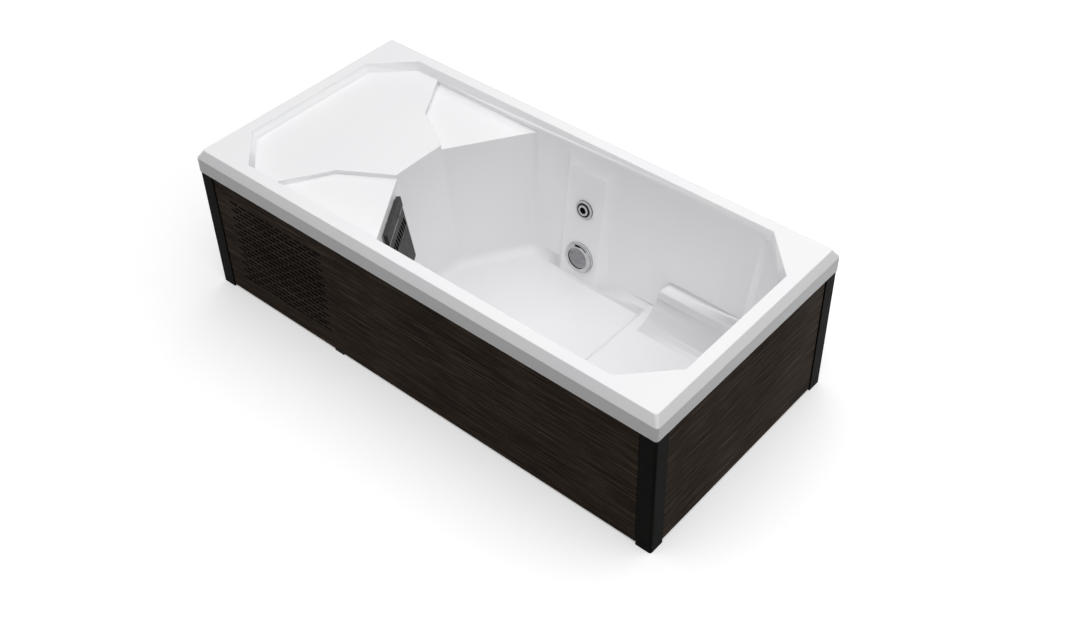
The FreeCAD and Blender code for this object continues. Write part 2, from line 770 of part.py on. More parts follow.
def mid_legs():
    """Two upright tubes under the bulkhead, one in front and one at the back."""
    legs = []
    for side in (-1, 1):
        y0, y1 = sorted((side * (leg_y - TUBE), side * leg_y))
        legs.append(square_tube(mid_leg_x - TUBE / 2, y0, FOOT_HEIGHT, mid_leg_x + TUBE / 2, y1, ring_bottom))
    return Part.makeCompound(legs)


def top_rails():
    """Four rails under the rim's flat, standing on the legs and short of the rim's round corners."""
    inner_y = top_rail_y - top_rail
    end_x = top_rail_x - RIM_CORNER / 4
    rails = []
    for side in (-1, 1):
        y0, y1 = sorted((side * inner_y, side * top_rail_y))
        rails.append(square_tube(-end_x, y0, ring_bottom, end_x, y1, ring_top))
        x0, x1 = sorted((side * (top_rail_x - top_rail), side * top_rail_x))
        rails.append(square_tube(x0, -inner_y, ring_bottom, x1, inner_y, ring_top))
    return Part.makeCompound(rails)


def foot_pads():
    """A plastic pad under each leg. Those at the middle legs reach under the panels to their faces."""
    half = TUBE / 2 + FOOT_MARGIN
    inner_y = leg_y - TUBE / 2 - half
    spots = [(sx * (leg_x - TUBE / 2), sy, leg_y) for sx, sy, x, y in leg_places()]
    spots += [(mid_leg_x, side, panel_y) for side in (-1, 1)]
    pads = []
    for x, side, outer_y in spots:
        low_x, high_x = max(x - half, -leg_x), min(x + half, leg_x)
        low_y, high_y = sorted((side * inner_y, side * outer_y))
        pads.append(block(low_x, low_y, 0, high_x, high_y, FOOT_HEIGHT))
    return Part.makeCompound(pads)


def base_sheet():
    """The sheet that closes the underside, fixed below the base rails."""
    sheet = block(-leg_x, -leg_y, rail_bottom - BASE_SHEET, leg_x, leg_y, rail_bottom)
    corners = []
    for sx, sy, x, y in leg_places():
        x0, x1 = sorted((x - sx * SHEET_FIT, sx * half_length))
        y0, y1 = sorted((y - sy * SHEET_FIT, sy * half_width))
        corners.append(block(x0, y0, 0, x1, y1, rail_top))
    for side in (-1, 1):
        y0, y1 = sorted((side * (leg_y - TUBE - SHEET_FIT), side * half_width))
        half = TUBE / 2 + SHEET_FIT
        corners.append(block(mid_leg_x - half, y0, 0, mid_leg_x + half, y1, rail_top))
    return sheet.cut(corners)


def plate_bolt_places():
    """Where the equipment plate is bolted to the long base rails."""
    ends = (bay_x + BOLT_EDGE, mid_leg_x - TUBE / 2 - BOLT_EDGE)
    return [(x, side * (leg_y - TUBE / 2)) for x in ends for side in (-1, 1)]


def plate_bolt_holes():
    """The holes for the equipment plate's bolts, through the plate and the top of the rail."""
    low = rail_top - TUBE_WALL
    return [rod(BOLT_D + 2 * SOCKET_FIT, (x, y, low), (x, y, plate_z)) for x, y in plate_bolt_places()]


def plate_bolts():
    """The bolts that hold the equipment plate."""
    low = rail_top - TUBE_WALL - BOLT_THROUGH
    bolts = []
    for x, y in plate_bolt_places():
        shank = rod(BOLT_D, (x, y, low), (x, y, plate_z))
        head = rod(BOLT_HEAD_D, (x, y, plate_z), (x, y, plate_z + BOLT_HEAD))
        bolts.append(fuse_all([shank, head]))
    return Part.makeCompound(bolts)


def corner_post(sx, sy):
    """One black corner cover, an angle with a round outer edge."""
    size = POST_FACE
    angle = block(0, 0, 0, size, size, rim_bottom)
    angle = angle.cut(block(POST_THICK, POST_THICK, 0, size, size, rim_bottom))
    edges = [e for e in angle.Edges if abs(e.BoundBox.XMax) < SAME_PLACE]
    angle = angle.makeFillet(POST_CORNER, [e for e in edges if abs(e.BoundBox.YMax) < SAME_PLACE])
    quarter = {(-1, -1): 0, (1, -1): 90, (1, 1): 180, (-1, 1): 270}[(sx, sy)]
    angle.rotate(Vector(0, 0, 0), Vector(0, 0, 1), quarter)
    angle.translate(Vector(sx * post_x, sy * post_y, 0))
    return angle


def back_panel():
    """The plain back panel between the corner posts."""
    half = post_x - POST_FACE - PANEL_SIDE_GAP
    return block(-half, leg_y, PANEL_LIFT, half, panel_y, panel_top)


def front_panel():
    """The front panel, with rows of air slots in front of the condenser."""
    slots = []
    for row in range(VENT_ROWS):
        odd = row % 2
        for column in range(VENT_SLOTS - odd):
            x = VENT_FROM_END - half_length + (column + odd / 2) * VENT_PITCH
            z = VENT_FROM_FLOOR + row * VENT_ROW_PITCH
            slots.append(slot_wire(x, z))
    half = post_x - POST_FACE - PANEL_SIDE_GAP
    corners = [Vector(-half, -panel_y, PANEL_LIFT), Vector(half, -panel_y, PANEL_LIFT)]
    corners += [Vector(half, -panel_y, panel_top), Vector(-half, -panel_y, panel_top)]
    sheet = Part.Face([Part.makePolygon(corners + corners[:1])] + slots)
    sheet.validate()
    return sheet.extrude(Vector(0, panel_y - leg_y - PULL_CLEARANCE, 0))


def slot_wire(x, z):
    """The outline of one air slot, with round ends."""
    radius = VENT_SLOT_HIGH / 2
    run = VENT_SLOT_LONG / 2 - radius
    y = -panel_y
    low_left, low_right = Vector(x - run, y, z - radius), Vector(x + run, y, z - radius)
    top_left, top_right = Vector(x - run, y, z + radius), Vector(x + run, y, z + radius)
    return Part.Wire([
        Part.LineSegment(low_left, low_right).toShape(),
        Part.Arc(low_right, Vector(x + run + radius, y, z), top_right).toShape(),
        Part.LineSegment(top_right, top_left).toShape(),
        Part.Arc(top_left, Vector(x - run - radius, y, z), low_left).toShape(),
    ])


def end_panel(side):
    """A panel across one end, between the corner posts."""
    half = post_y - POST_FACE - PANEL_SIDE_GAP
    x0, x1 = sorted((side * panel_x, side * leg_x))
    return block(x0, -half, PANEL_LIFT, x1, half, panel_top)


def deck_end_panel():
    """The panel at the deck end, with a cut-out for the service recess."""
    wide = RECESS_WIDE / 2 + SHEET_FIT
    high = RECESS_HIGH / 2 + SHEET_FIT
    low_y, high_y = drain_y - wide, drain_y + wide
    return end_panel(-1).cut(block(-half_length, low_y, recess_z - high, bay_x, high_y, recess_z + high))


def panel_clips():
    """Clips beside the legs that the long panels push on to."""
    clips = []
    inner_x = leg_x - TUBE
    heights = (rail_top + CLIP_TOP_DROP, panel_top - CLIP_TOP_DROP)
    places = [-inner_x, mid_leg_x - TUBE / 2 - CLIP_WIDTH, inner_x - CLIP_WIDTH]
    for side in (-1, 1):
        y0, y1 = sorted((side * leg_y, side * (leg_y - CLIP_DEPTH)))
        for x in places:
            for z in heights:
                clips.append(block(x, y0, z - CLIP_HEIGHT / 2, x + CLIP_WIDTH, y1, z + CLIP_HEIGHT / 2))
    return Part.makeCompound(clips)


def skimmer_gasket():
    """The rubber frame between the skimmer's lip and the wing."""
    ring = plate_block(MOUTH_WIDTH + 2 * SKIMMER_LIP, MOUTH_HEIGHT + 2 * SKIMMER_LIP, 0, GASKET)
    return on_wing(ring.cut(plate_block(MOUTH_WIDTH, MOUTH_HEIGHT, 0, GASKET)), grille_drop())


def skimmer_box():
    """The box behind the wing that holds the filter, with a lip inside and a spout below."""
    lip_front = GASKET + SKIMMER_WALL
    wide, high = MOUTH_WIDTH - 2 * SHEET_FIT, MOUTH_HEIGHT - 2 * SHEET_FIT
    lip = plate_block(MOUTH_WIDTH + 2 * SKIMMER_LIP, MOUTH_HEIGHT + 2 * SKIMMER_LIP, GASKET, lip_front)
    box = lip.fuse(plate_block(wide, high, -SKIMMER_DEPTH, lip_front))
    inner_wide, inner_high = wide - 2 * SKIMMER_WALL, high - 2 * SKIMMER_WALL
    inside = plate_block(inner_wide, inner_high, SKIMMER_WALL - SKIMMER_DEPTH, lip_front)
    placed = on_wing(box, grille_drop())
    top = skimmer_port()
    spout = rod(PIPE_D + 2 * SOCKET_WALL, (top.x, top.y, top.z), (top.x, top.y, top.z - SKIMMER_SPOUT))
    bore = rod(PIPE_D + 2 * SOCKET_FIT, (top.x, top.y, top.z), (top.x, top.y, top.z - SKIMMER_SPOUT))
    return fuse_all([placed, spout]).cut([on_wing(inside, grille_drop()), bore])


def skimmer_port():
    """The middle of the box's floor, where its spout leaves."""
    corner = Part.Vertex(0, SKIMMER_WALL - MOUTH_HEIGHT / 2, -SKIMMER_PORT_DEPTH)
    return on_wing(corner, grille_drop()).Point


def skimmer_grille():
    """The charcoal grille over the skimmer: a bevelled plate with a comb of slots near its top."""
    back = GASKET + SKIMMER_WALL + PULL_CLEARANCE
    front = back + GRILLE_THICK
    plate = plate_block(GRILLE_WIDTH, GRILLE_HEIGHT, back, front)
    edges = [e for e in plate.Edges if is_level(e, front)]
    plate = plate.makeChamfer(GRILLE_EDGE, edges)
    top = GRILLE_HEIGHT / 2
    cuts = [block(-GRILLE_NOTCH_WIDE / 2, top - GRILLE_NOTCH_DEEP, back, GRILLE_NOTCH_WIDE / 2, top, front)]
    first = -GRILLE_SLOT_PITCH * (GRILLE_SLOTS - 1) / 2
    slot_top = top - GRILLE_SLOT_DROP
    for i in range(GRILLE_SLOTS):
        x = first + i * GRILLE_SLOT_PITCH
        half = GRILLE_SLOT_WIDE / 2
        cuts.append(block(x - half, slot_top - GRILLE_SLOT_HIGH, back, x + half, slot_top, front))
    return on_wing(plate.cut(cuts), grille_drop())


def filter_cartridge():
    """The pleated filter behind the grille, with an end cap at each end."""
    front = GASKET + SKIMMER_WALL + PULL_CLEARANCE
    back = front - CARTRIDGE_LENGTH
    radius = CARTRIDGE_D / 2
    points = []
    for i in range(2 * CARTRIDGE_PLEATS):
        reach = radius if i % 2 else radius - CARTRIDGE_PLEAT_DEEP
        angle = math.pi * i / CARTRIDGE_PLEATS
        points.append((reach * math.cos(angle), reach * math.sin(angle)))
    pleats = prism(points, back + CARTRIDGE_CAP, front - CARTRIDGE_CAP)
    caps = [rod(CARTRIDGE_D, (0, 0, z), (0, 0, z + CARTRIDGE_CAP)) for z in (back, front - CARTRIDGE_CAP)]
    bore = rod(CARTRIDGE_BORE, (0, 0, back), (0, 0, front))
    return on_wing(fuse_all([pleats] + caps).cut(bore), grille_drop())


def jet_gasket():
    """The rubber ring under the jet's flange."""
    return on_pad(sleeve(JET_FLANGE_D, JET_BARREL_D + 2 * SOCKET_FIT, (0, 0, 0), (0, 0, GASKET)), JET_DROP)


def jet_fitting():
    """The jet's flange and threaded barrel, with a ledge inside that the collar sits on."""
    top = GASKET + JET_FLANGE
    end = -SHELL_WALL - JET_BARREL_BACK
    flange = rod(JET_FLANGE_D, (0, 0, GASKET), (0, 0, top))
    flange = flange.makeFillet(JET_FLANGE / 2, [e for e in flange.Edges if is_level(e, top)])
    barrel = flange.fuse(rod(JET_BARREL_D, (0, 0, end), (0, 0, top)))
    socket = rod(JET_COLLAR_D + 2 * PULL_CLEARANCE, (0, 0, jet_ledge()), (0, 0, top))
    throat = rod(JET_BALL_D, (0, 0, end), (0, 0, top))
    back = rod(JET_BARREL_D - 2 * JET_BARREL_WALL, (0, 0, end), (0, 0, jet_ledge() - JET_LEDGE))
    return on_pad(barrel.cut([socket, throat, back]).removeSplitter(), JET_DROP)


def jet_ledge():
    """The height of the ledge in the jet's barrel above the pad."""
    return GASKET + JET_FLANGE + JET_COLLAR_PROUD - JET_COLLAR_HIGH - PULL_CLEARANCE


def jet_ball_height():
    """The height of the eyeball's middle above the pad."""
    return jet_ledge() + PULL_CLEARANCE + JET_COLLAR_HIGH / 2


def jet_collar():
    """The turning collar of the jet, with a round seat for the eyeball."""
    low = jet_ledge() + PULL_CLEARANCE
    high = low + JET_COLLAR_HIGH
    ring = rod(JET_COLLAR_D, (0, 0, low), (0, 0, high))
    ring = ring.makeFillet(JET_COLLAR_PROUD / 2, [e for e in ring.Edges if is_level(e, high)])
    seat = Part.makeSphere(JET_BALL_D / 2 + PULL_CLEARANCE, Vector(0, 0, jet_ball_height()))
    return on_pad(ring.cut(seat), JET_DROP)


def jet_nozzle():
    """The swivelling eyeball of the jet, with its orifice."""
    middle = jet_ball_height()
    ball = Part.makeSphere(JET_BALL_D / 2, Vector(0, 0, middle))
    half = JET_BALL_HIGH / 2
    ball = ball.common(plate_block(JET_BALL_D, JET_BALL_D, middle - half, middle + half))
    bore = rod(JET_ORIFICE_D, (0, 0, middle - JET_BALL_D), (0, 0, middle + JET_BALL_D))
    return on_pad(ball.cut(bore), JET_DROP)


def jet_nut():
    """The nut that clamps the jet to the shell from behind."""
    start, end = (0, 0, -SHELL_WALL - JET_NUT), (0, 0, -SHELL_WALL)
    return on_pad(sleeve(JET_NUT_D, JET_BARREL_D + 2 * SOCKET_FIT, start, end), JET_DROP)


def rear_body(drop, body_d, barrel_d, nut, pipe_d):
    """A cup behind a wall fitting, with a socket for the pipe along the back wall."""
    depth = behind_pad(drop, pipe_d)
    end = -depth - pipe_d / 2 - 2 * SOCKET_WALL
    start = -SHELL_WALL - nut
    cup = rod(body_d, (0, 0, end), (0, 0, start))
    reach = body_d / 2 + SOCKET_DEEP
    socket = rod(pipe_d + 2 * SOCKET_WALL, (0, 0, -depth), (-reach, 0, -depth))
    inside = rod(barrel_d + 2 * SOCKET_FIT, (0, 0, end + SOCKET_WALL), (0, 0, start))
    bore = rod(pipe_d + 2 * SOCKET_FIT, (0, 0, -depth), (-reach, 0, -depth))
    return on_pad(cup.fuse(socket).cut([inside, bore]).removeSplitter(), drop)


def jet_body():
    """The cup behind the jet that the return pipe plugs into."""
    return rear_body(JET_DROP, JET_BODY_D, JET_BARREL_D, JET_NUT, RETURN_D)


def suction_gasket():
    """The rubber ring under the suction fitting's flange."""
    inner = SUCTION_BARREL_D + 2 * SOCKET_FIT
    return on_pad(sleeve(SUCTION_RING_D, inner, (0, 0, 0), (0, 0, GASKET)), suction_drop)


def suction_fitting():
    """The suction fitting's bright flange and threaded barrel."""
    top = GASKET + SUCTION_RING
    end = -SHELL_WALL - SUCTION_BARREL_BACK
    flange = rod(SUCTION_RING_D, (0, 0, GASKET), (0, 0, top))
    flange = flange.makeFillet(SUCTION_RING / 2, [e for e in flange.Edges if is_level(e, top)])
    barrel = flange.fuse(rod(SUCTION_BARREL_D, (0, 0, end), (0, 0, top)))
    throat = rod(SUCTION_BARREL_D - 2 * SUCTION_BARREL_WALL, (0, 0, end), (0, 0, top))
    hole_d = SCREW_D + 2 * SOCKET_FIT
    holes = [rod(hole_d, (x, y, GASKET), (x, y, top)) for x, y in screw_places()]
    return on_pad(barrel.cut([throat] + holes).removeSplitter(), suction_drop)


def cover_leg_radius():
    """How far the cover's legs stand from its middle."""
    return (SUCTION_COVER_D + SCREEN_D) / 4


def screw_places():
    """Where the cover's two screws stand."""
    return [(side * cover_leg_radius(), 0) for side in (-1, 1)]


def suction_cover():
    """The raised ring over the suction fitting, on legs, so that water also enters round its edge."""
    low = GASKET + SUCTION_RING
    high = low + SUCTION_COVER_HIGH
    disc = rod(SUCTION_COVER_D, (0, 0, low + SUCTION_GAP), (0, 0, high))
    disc = disc.makeFillet(SUCTION_COVER_EDGE, [e for e in disc.Edges if is_level(e, high)])
    legs = []
    for i in range(SUCTION_COVER_LEGS):
        angle = 2 * math.pi * i / SUCTION_COVER_LEGS
        x, y = cover_leg_radius() * math.cos(angle), cover_leg_radius() * math.sin(angle)
        legs.append(rod(SUCTION_LEG_D, (x, y, low), (x, y, high - SUCTION_COVER_EDGE)))
    cuts = [
        rod(SCREEN_D + 2 * SOCKET_FIT, (0, 0, high - SCREEN), (0, 0, high)),
        rod(SCREEN_D - 2 * SCREEN_LIP, (0, 0, low), (0, 0, high)),
    ]
    for x, y in screw_places():
        cuts.append(rod(SCREW_D + 2 * SOCKET_FIT, (x, y, low), (x, y, high)))
        cuts.append(rod(SCREW_HEAD_D + 2 * SOCKET_FIT, (x, y, high - SCREW_HEAD), (x, y, high)))
    return on_pad(fuse_all([disc] + legs).cut(cuts), suction_drop)


def suction_screen():
    """The grey screen in the suction cover, with rings of small holes."""
    high = GASKET + SUCTION_RING + SUCTION_COVER_HIGH
    low = high - SCREEN
    screen = rod(SCREEN_D, (0, 0, low), (0, 0, high))
    holes = [rod(SCREEN_HOLE_D, (0, 0, low), (0, 0, high))]
    step = (SCREEN_D / 2 - SCREEN_LIP) / (SCREEN_RINGS + 1)
    for ring in range(1, SCREEN_RINGS + 1):
        count = SCREEN_RING_HOLES * ring
        for i in range(count):
            angle = 2 * math.pi * i / count
            x, y = ring * step * math.cos(angle), ring * step * math.sin(angle)
            holes.append(rod(SCREEN_HOLE_D, (x, y, low), (x, y, high)))
    return on_pad(screen.cut(holes), suction_drop)


def suction_screws():
    """The two screws that hold the suction cover."""
    high = GASKET + SUCTION_RING + SUCTION_COVER_HIGH
    screws = []
    for x, y in screw_places():
        head = rod(SCREW_HEAD_D, (x, y, high - SCREW_HEAD), (x, y, high))
        shank = rod(SCREW_D, (x, y, GASKET), (x, y, high))
        screws.append(on_pad(fuse_all([head, shank]), suction_drop))
    return Part.makeCompound(screws)


def suction_nut():
    """The nut that clamps the suction fitting to the shell from behind."""
    start, end = (0, 0, -SHELL_WALL - SUCTION_NUT), (0, 0, -SHELL_WALL)
    return on_pad(sleeve(SUCTION_NUT_D, SUCTION_BARREL_D + 2 * SOCKET_FIT, start, end), suction_drop)


def suction_body():
    """The cup behind the suction fitting that the suction pipe plugs into."""
    return rear_body(suction_drop, SUCTION_BODY_D, SUCTION_BARREL_D, SUCTION_NUT, PIPE_D)


def pump_axis():
    """A point on the pump's axis, in line with the suction pipe."""
    return port_point(suction_drop, PIPE_D)


def suction_tee():
    """The tee in front of the pump that joins the basin's suction and the skimmer."""
    y, z = pump_axis().y, pump_axis().z
    half = TEE_LENGTH / 2
    outer, inner = PIPE_D + 2 * SOCKET_WALL, PIPE_D + 2 * SOCKET_FIT
    run = rod(outer, (tee_x - half, y, z), (tee_x + half, y, z))
    branch = rod(outer, (tee_x, y, z), (tee_x, y - TEE_BRANCH, z))
    bores = [
        rod(inner, (tee_x - half, y, z), (tee_x + half, y, z)),
        rod(inner, (tee_x, y, z), (tee_x, y - TEE_BRANCH, z)),
    ]
    return run.fuse(branch).cut(bores).removeSplitter()


def suction_pipe():
    """The straight pipe from the suction fitting along the back wall to the tee."""
    y, z = pump_axis().y, pump_axis().z
    start = pad_x - SUCTION_BODY_D / 2
    end = tee_x + TEE_LENGTH / 2 - SOCKET_DEEP
    return sleeve(PIPE_D, PIPE_D - 2 * PIPE_WALL, (start, y, z), (end, y, z))


def skimmer_pipe():
    """The pipe from the skimmer's spout, down and across the bay to the tee."""
    top = skimmer_port()
    y, z = pump_axis().y, pump_axis().z
    start_z = top.z - SKIMMER_SPOUT + SOCKET_DEEP
    end_y = y - TEE_BRANCH + SOCKET_DEEP
    points = [
        (top.x, top.y, start_z), (top.x, top.y, z),
        (tee_x, top.y + SKIMMER_PIPE_RUN, z), (tee_x, end_y, z),
    ]
    return bent_pipe(points, PIPE_BEND, PIPE_D, PIPE_WALL)


def pump_volute():
    """The pump's wet end: a hollow round case with a spout in front and one on top."""
    y, z = pump_axis().y, pump_axis().z
    front = volute_x
    back = front - VOLUTE_WIDE
    inner_d = PIPE_D - 2 * PIPE_WALL
    case = rod(VOLUTE_D, (back, y, z), (front, y, z))
    spout = rod(PIPE_D, (front, y, z), (front + SPOUT_LENGTH, y, z))
    outlet_top = z + VOLUTE_D / 2 + SOCKET_DEEP
    outlet = rod(RETURN_D + 2 * SOCKET_WALL, (pump_x, y, z), (pump_x, y, outlet_top))
    inside = rod(VOLUTE_D - 2 * VOLUTE_WALL, (back + VOLUTE_WALL, y, z), (front - VOLUTE_WALL, y, z))
    bores = [
        inside,
        rod(inner_d, (pump_x, y, z), (front + SPOUT_LENGTH, y, z)),
        rod(RETURN_D + 2 * SOCKET_FIT, (pump_x, y, z), (pump_x, y, outlet_top)),
        rod(SHAFT_D + 2 * SHAFT_FIT, (back, y, z), (pump_x, y, z)),
    ]
    return fuse_all([case, spout, outlet]).cut(bores)


def pump_motor():
    """The finned motor behind the pump's wet end, with a bore for the shaft."""
    y, z = pump_axis().y, pump_axis().z
    front = volute_x - VOLUTE_WIDE
    back = front - PUMP_LENGTH
    body = rod(PUMP_MOTOR_D, (back, y, z), (front, y, z))
    fins = []
    for i in range(PUMP_FINS):
        half, tip = PUMP_FIN_THICK / 2, PUMP_MOTOR_D / 2 + PUMP_FIN_HIGH
        fin = block(back + PUMP_FIN_END, -half, 0, front - PUMP_FIN_END, half, tip)
        fin.rotate(Vector(0, 0, 0), Vector(1, 0, 0), 360 * i / PUMP_FINS)
        fin.translate(Vector(0, y, z))
        fins.append(fin)
    bore = rod(SHAFT_D + 2 * SHAFT_FIT, (front - SHAFT_DEEP, y, z), (front, y, z))
    return fuse_all([body] + fins).cut(bore)


def pump_impeller():
    """The impeller and its shaft, which turn together."""
    y, z = pump_axis().y, pump_axis().z
    back = volute_x - VOLUTE_WIDE + VOLUTE_WALL + IMPELLER_GAP
    shaft_end = volute_x - VOLUTE_WIDE - SHAFT_DEEP + IMPELLER_GAP
    pieces = [
        rod(IMPELLER_D, (back, y, z), (back + IMPELLER_DISC, y, z)),
        rod(IMPELLER_HUB_D, (back, y, z), (back + IMPELLER_WIDE, y, z)),
        rod(SHAFT_D, (shaft_end, y, z), (back + IMPELLER_WIDE, y, z)),
    ]
    for i in range(IMPELLER_VANES):
        half, tip = IMPELLER_VANE / 2, IMPELLER_D / 2 - IMPELLER_VANE
        vane = block(back, -half, IMPELLER_HUB_D / 4, back + IMPELLER_WIDE, half, tip)
        vane.rotate(Vector(0, 0, 0), Vector(1, 0, 0), 360 * i / IMPELLER_VANES)
        vane.translate(Vector(0, y, z))
        pieces.append(vane)
    return fuse_all(pieces)


def pump_foot():
    """The saddle that carries the pump motor on the equipment plate."""
    y, z = pump_axis().y, pump_axis().z
    front = volute_x - VOLUTE_WIDE - PUMP_FIN_END
    back = front - PUMP_LENGTH + 2 * PUMP_FIN_END
    saddle = block(back, y - PUMP_FOOT_WIDE / 2, plate_z, front, y + PUMP_FOOT_WIDE / 2, z)
    clear = PUMP_MOTOR_D + 2 * (PUMP_FIN_HIGH + SOCKET_FIT)
    return saddle.cut(rod(clear, (back, y, z), (front, y, z)))


def equipment_plate():
    """The plate in the bay that carries the chiller, pump and controls."""
    right = mid_leg_x - TUBE / 2 - SHEET_FIT
    plate = block(bay_x, -leg_y, rail_top, right, leg_y, plate_z)
    half = DRAIN_D / 2 + PIPE_STANDOFF
    left = drain_rise_x() - DRAIN_RISE_RUN
    notch = block(left, drain_y - half, rail_top, right, drain_y + half, plate_z)
    return plate.cut([notch] + plate_bolt_holes())


def condenser_coil():
    """The finned condenser behind the vent, with its tube ends."""
    x0, x1 = vent_x - CONDENSER_WIDE / 2, vent_x + CONDENSER_WIDE / 2
    core = block(x0, condenser_y, plate_z, x1, shroud_y, plate_z + CONDENSER_HIGH)
    middle = (condenser_y + shroud_y) / 2
    tubes = []
    for i in range(CONDENSER_TUBES):
        z = condenser_tube_z(i)
        start, end = (x0 - CONDENSER_TUBE_OUT, middle, z), (x1 + CONDENSER_TUBE_OUT, middle, z)
        tubes.append(rod(CONDENSER_TUBE_D, start, end))
    return fuse_all([core] + tubes)


def condenser_tube_z(index):
    """The height of one of the condenser's tubes, counted from the bottom."""
    return plate_z + (index + 0.5) * CONDENSER_HIGH / CONDENSER_TUBES


def fan_shroud():
    """The sheet behind the condenser, with a ring round the fan and a bar for the fan motor."""
    half = CONDENSER_WIDE / 2
    sheet_end = shroud_y + SHROUD_SHEET
    sheet = block(vent_x - half, shroud_y, plate_z, vent_x + half, sheet_end, plate_z + CONDENSER_HIGH)
    bore_d = FAN_D + 2 * FAN_TIP_GAP
    ring_d = bore_d + 2 * SHROUD_SHEET
    ring = rod(ring_d, (vent_x, shroud_y, fan_z), (vent_x, ring_y, fan_z))
    bore = rod(bore_d, (vent_x, shroud_y, fan_z), (vent_x, ring_y, fan_z))
    frame = sheet.fuse(ring).cut(bore)
    wide = FAN_BAR_WIDE / 2
    bar = block(vent_x - ring_d / 2, ring_y, fan_z - wide, vent_x + ring_d / 2, fan_motor_y, fan_z + wide)
    hole = rod(FAN_SHAFT_D + 4 * SOCKET_FIT, (vent_x, ring_y, fan_z), (vent_x, fan_motor_y, fan_z))
    return frame.fuse(bar).cut(hole).removeSplitter()


def fan_motor():
    """The fan motor on the shroud's bar, with a bore for the rotor's shaft."""
    end_y = fan_motor_y + FAN_MOTOR_DEEP
    body = rod(FAN_MOTOR_D, (vent_x, fan_motor_y, fan_z), (vent_x, end_y, fan_z))
    edges = [e for e in body.Edges if abs(e.BoundBox.YMin - end_y) < SAME_PLACE]
    body = body.makeFillet(FAN_MOTOR_EDGE, edges)
    bore_end = (vent_x, fan_motor_y + FAN_SHAFT_DEEP, fan_z)
    return body.cut(rod(FAN_SHAFT_D + 2 * SHAFT_FIT, (vent_x, fan_motor_y, fan_z), bore_end))


def fan_rotor():
    """The fan: a hub on a shaft with pitched blades."""
    hub_end = ring_y - FAN_BACK_GAP
    hub_start = hub_end - FAN_HUB_DEEP
    shaft_end = fan_motor_y + FAN_SHAFT_DEEP - FAN_BACK_GAP
    middle = (hub_start + hub_end) / 2
    pieces = [
        rod(FAN_HUB_D, (vent_x, hub_start, fan_z), (vent_x, hub_end, fan_z)),
        rod(FAN_SHAFT_D, (vent_x, middle, fan_z), (vent_x, shaft_end, fan_z)),
    ]
    for i in range(FAN_BLADES):
        half_wide, half_thick = FAN_BLADE_WIDE / 2, FAN_BLADE_THICK / 2
        blade = block(-half_wide, -half_thick, FAN_HUB_D / 4, half_wide, half_thick, FAN_D)
        blade.rotate(Vector(0, 0, 0), Vector(0, 0, 1), FAN_PITCH)
        blade = blade.common(rod(FAN_D, (0, -FAN_HUB_DEEP / 2, 0), (0, FAN_HUB_DEEP / 2, 0)))
        blade.rotate(Vector(0, 0, 0), Vector(0, 1, 0), 360 * i / FAN_BLADES)
        blade.translate(Vector(vent_x, middle, fan_z))
        pieces.append(blade)
    return fuse_all(pieces)


def compressor():
    """The sealed compressor can on its base flange."""
    x, y = compressor_x, compressor_y
    top = plate_z + COMPRESSOR_HIGH
    can = rod(COMPRESSOR_D - 2 * COMPRESSOR_FLANGE, (x, y, plate_z), (x, y, top))
    can = can.makeFillet(COMPRESSOR_DOME, [e for e in can.Edges if is_level(e, top)])
    flange = rod(COMPRESSOR_D, (x, y, plate_z), (x, y, plate_z + COMPRESSOR_FLANGE))
    return fuse_all([can, flange])


def exchanger_top():
    """The top of the heat exchanger."""
    return plate_z + EXCHANGER_HIGH


def heat_exchanger():
    """The upright heat exchanger between the pump and the jet, with a cap at each end."""
    x, y = pump_x, compressor_y
    top = exchanger_top()
    cap_d = EXCHANGER_D + 2 * EXCHANGER_CAP_OUT
    pieces = [
        rod(EXCHANGER_D, (x, y, plate_z), (x, y, top)),
        rod(cap_d, (x, y, plate_z), (x, y, plate_z + EXCHANGER_CAP)),
        rod(cap_d, (x, y, top - EXCHANGER_CAP), (x, y, top)),
    ]
    body = fuse_all(pieces)
    inlet_z, outlet_z = chiller_pipe_z(), port_point(JET_DROP, RETURN_D).z
    near = EXCHANGER_D / 2 - SOCKET_DEEP
    far = EXCHANGER_D / 2 + SOCKET_DEEP
    socket_d, bore_d = RETURN_D + 2 * SOCKET_WALL, RETURN_D + 2 * SOCKET_FIT
    sockets = [
        rod(socket_d, (x, y, inlet_z), (x, y + far, inlet_z)),
        rod(socket_d, (x, y, outlet_z), (x + far, y, outlet_z)),
    ]
    inside_d = EXCHANGER_D - 2 * EXCHANGER_WALL
    bores = [
        rod(inside_d, (x, y, plate_z + EXCHANGER_CAP), (x, y, top - EXCHANGER_CAP)),
        rod(bore_d, (x, y + near, inlet_z), (x, y + far, inlet_z)),
        rod(bore_d, (x + near, y, outlet_z), (x + far, y, outlet_z)),
    ]
    return fuse_all([body] + sockets).cut(bores)


def chiller_pipe_z():
    """The height of the pipe from the pump into the heat exchanger."""
    return exchanger_top() - EXCHANGER_CAP - RETURN_D


def chiller_pipe():
    """The pipe from the pump's outlet up and over to the heat exchanger."""
    y, z = pump_axis().y, pump_axis().z
    over = chiller_pipe_z()
    end_y = compressor_y + EXCHANGER_D / 2
    points = [(pump_x, y, z + VOLUTE_D / 2), (pump_x, y, over), (pump_x, end_y, over)]
    return bent_pipe(points, RETURN_BEND, RETURN_D, RETURN_WALL)


def return_pipe():
    """The pipe that takes the cold water from the heat exchanger back to the jet."""
    port = port_point(JET_DROP, RETURN_D)
    corner_x = pump_x + EXCHANGER_D / 2 + RETURN_BEND + SOCKET_DEEP
    points = [
        (pad_x - JET_BODY_D / 2, port.y, port.z), (corner_x, port.y, port.z),
        (corner_x, compressor_y, port.z), (pump_x + EXCHANGER_D / 2, compressor_y, port.z),
    ]
    return bent_pipe(points, RETURN_BEND, RETURN_D, RETURN_WALL)


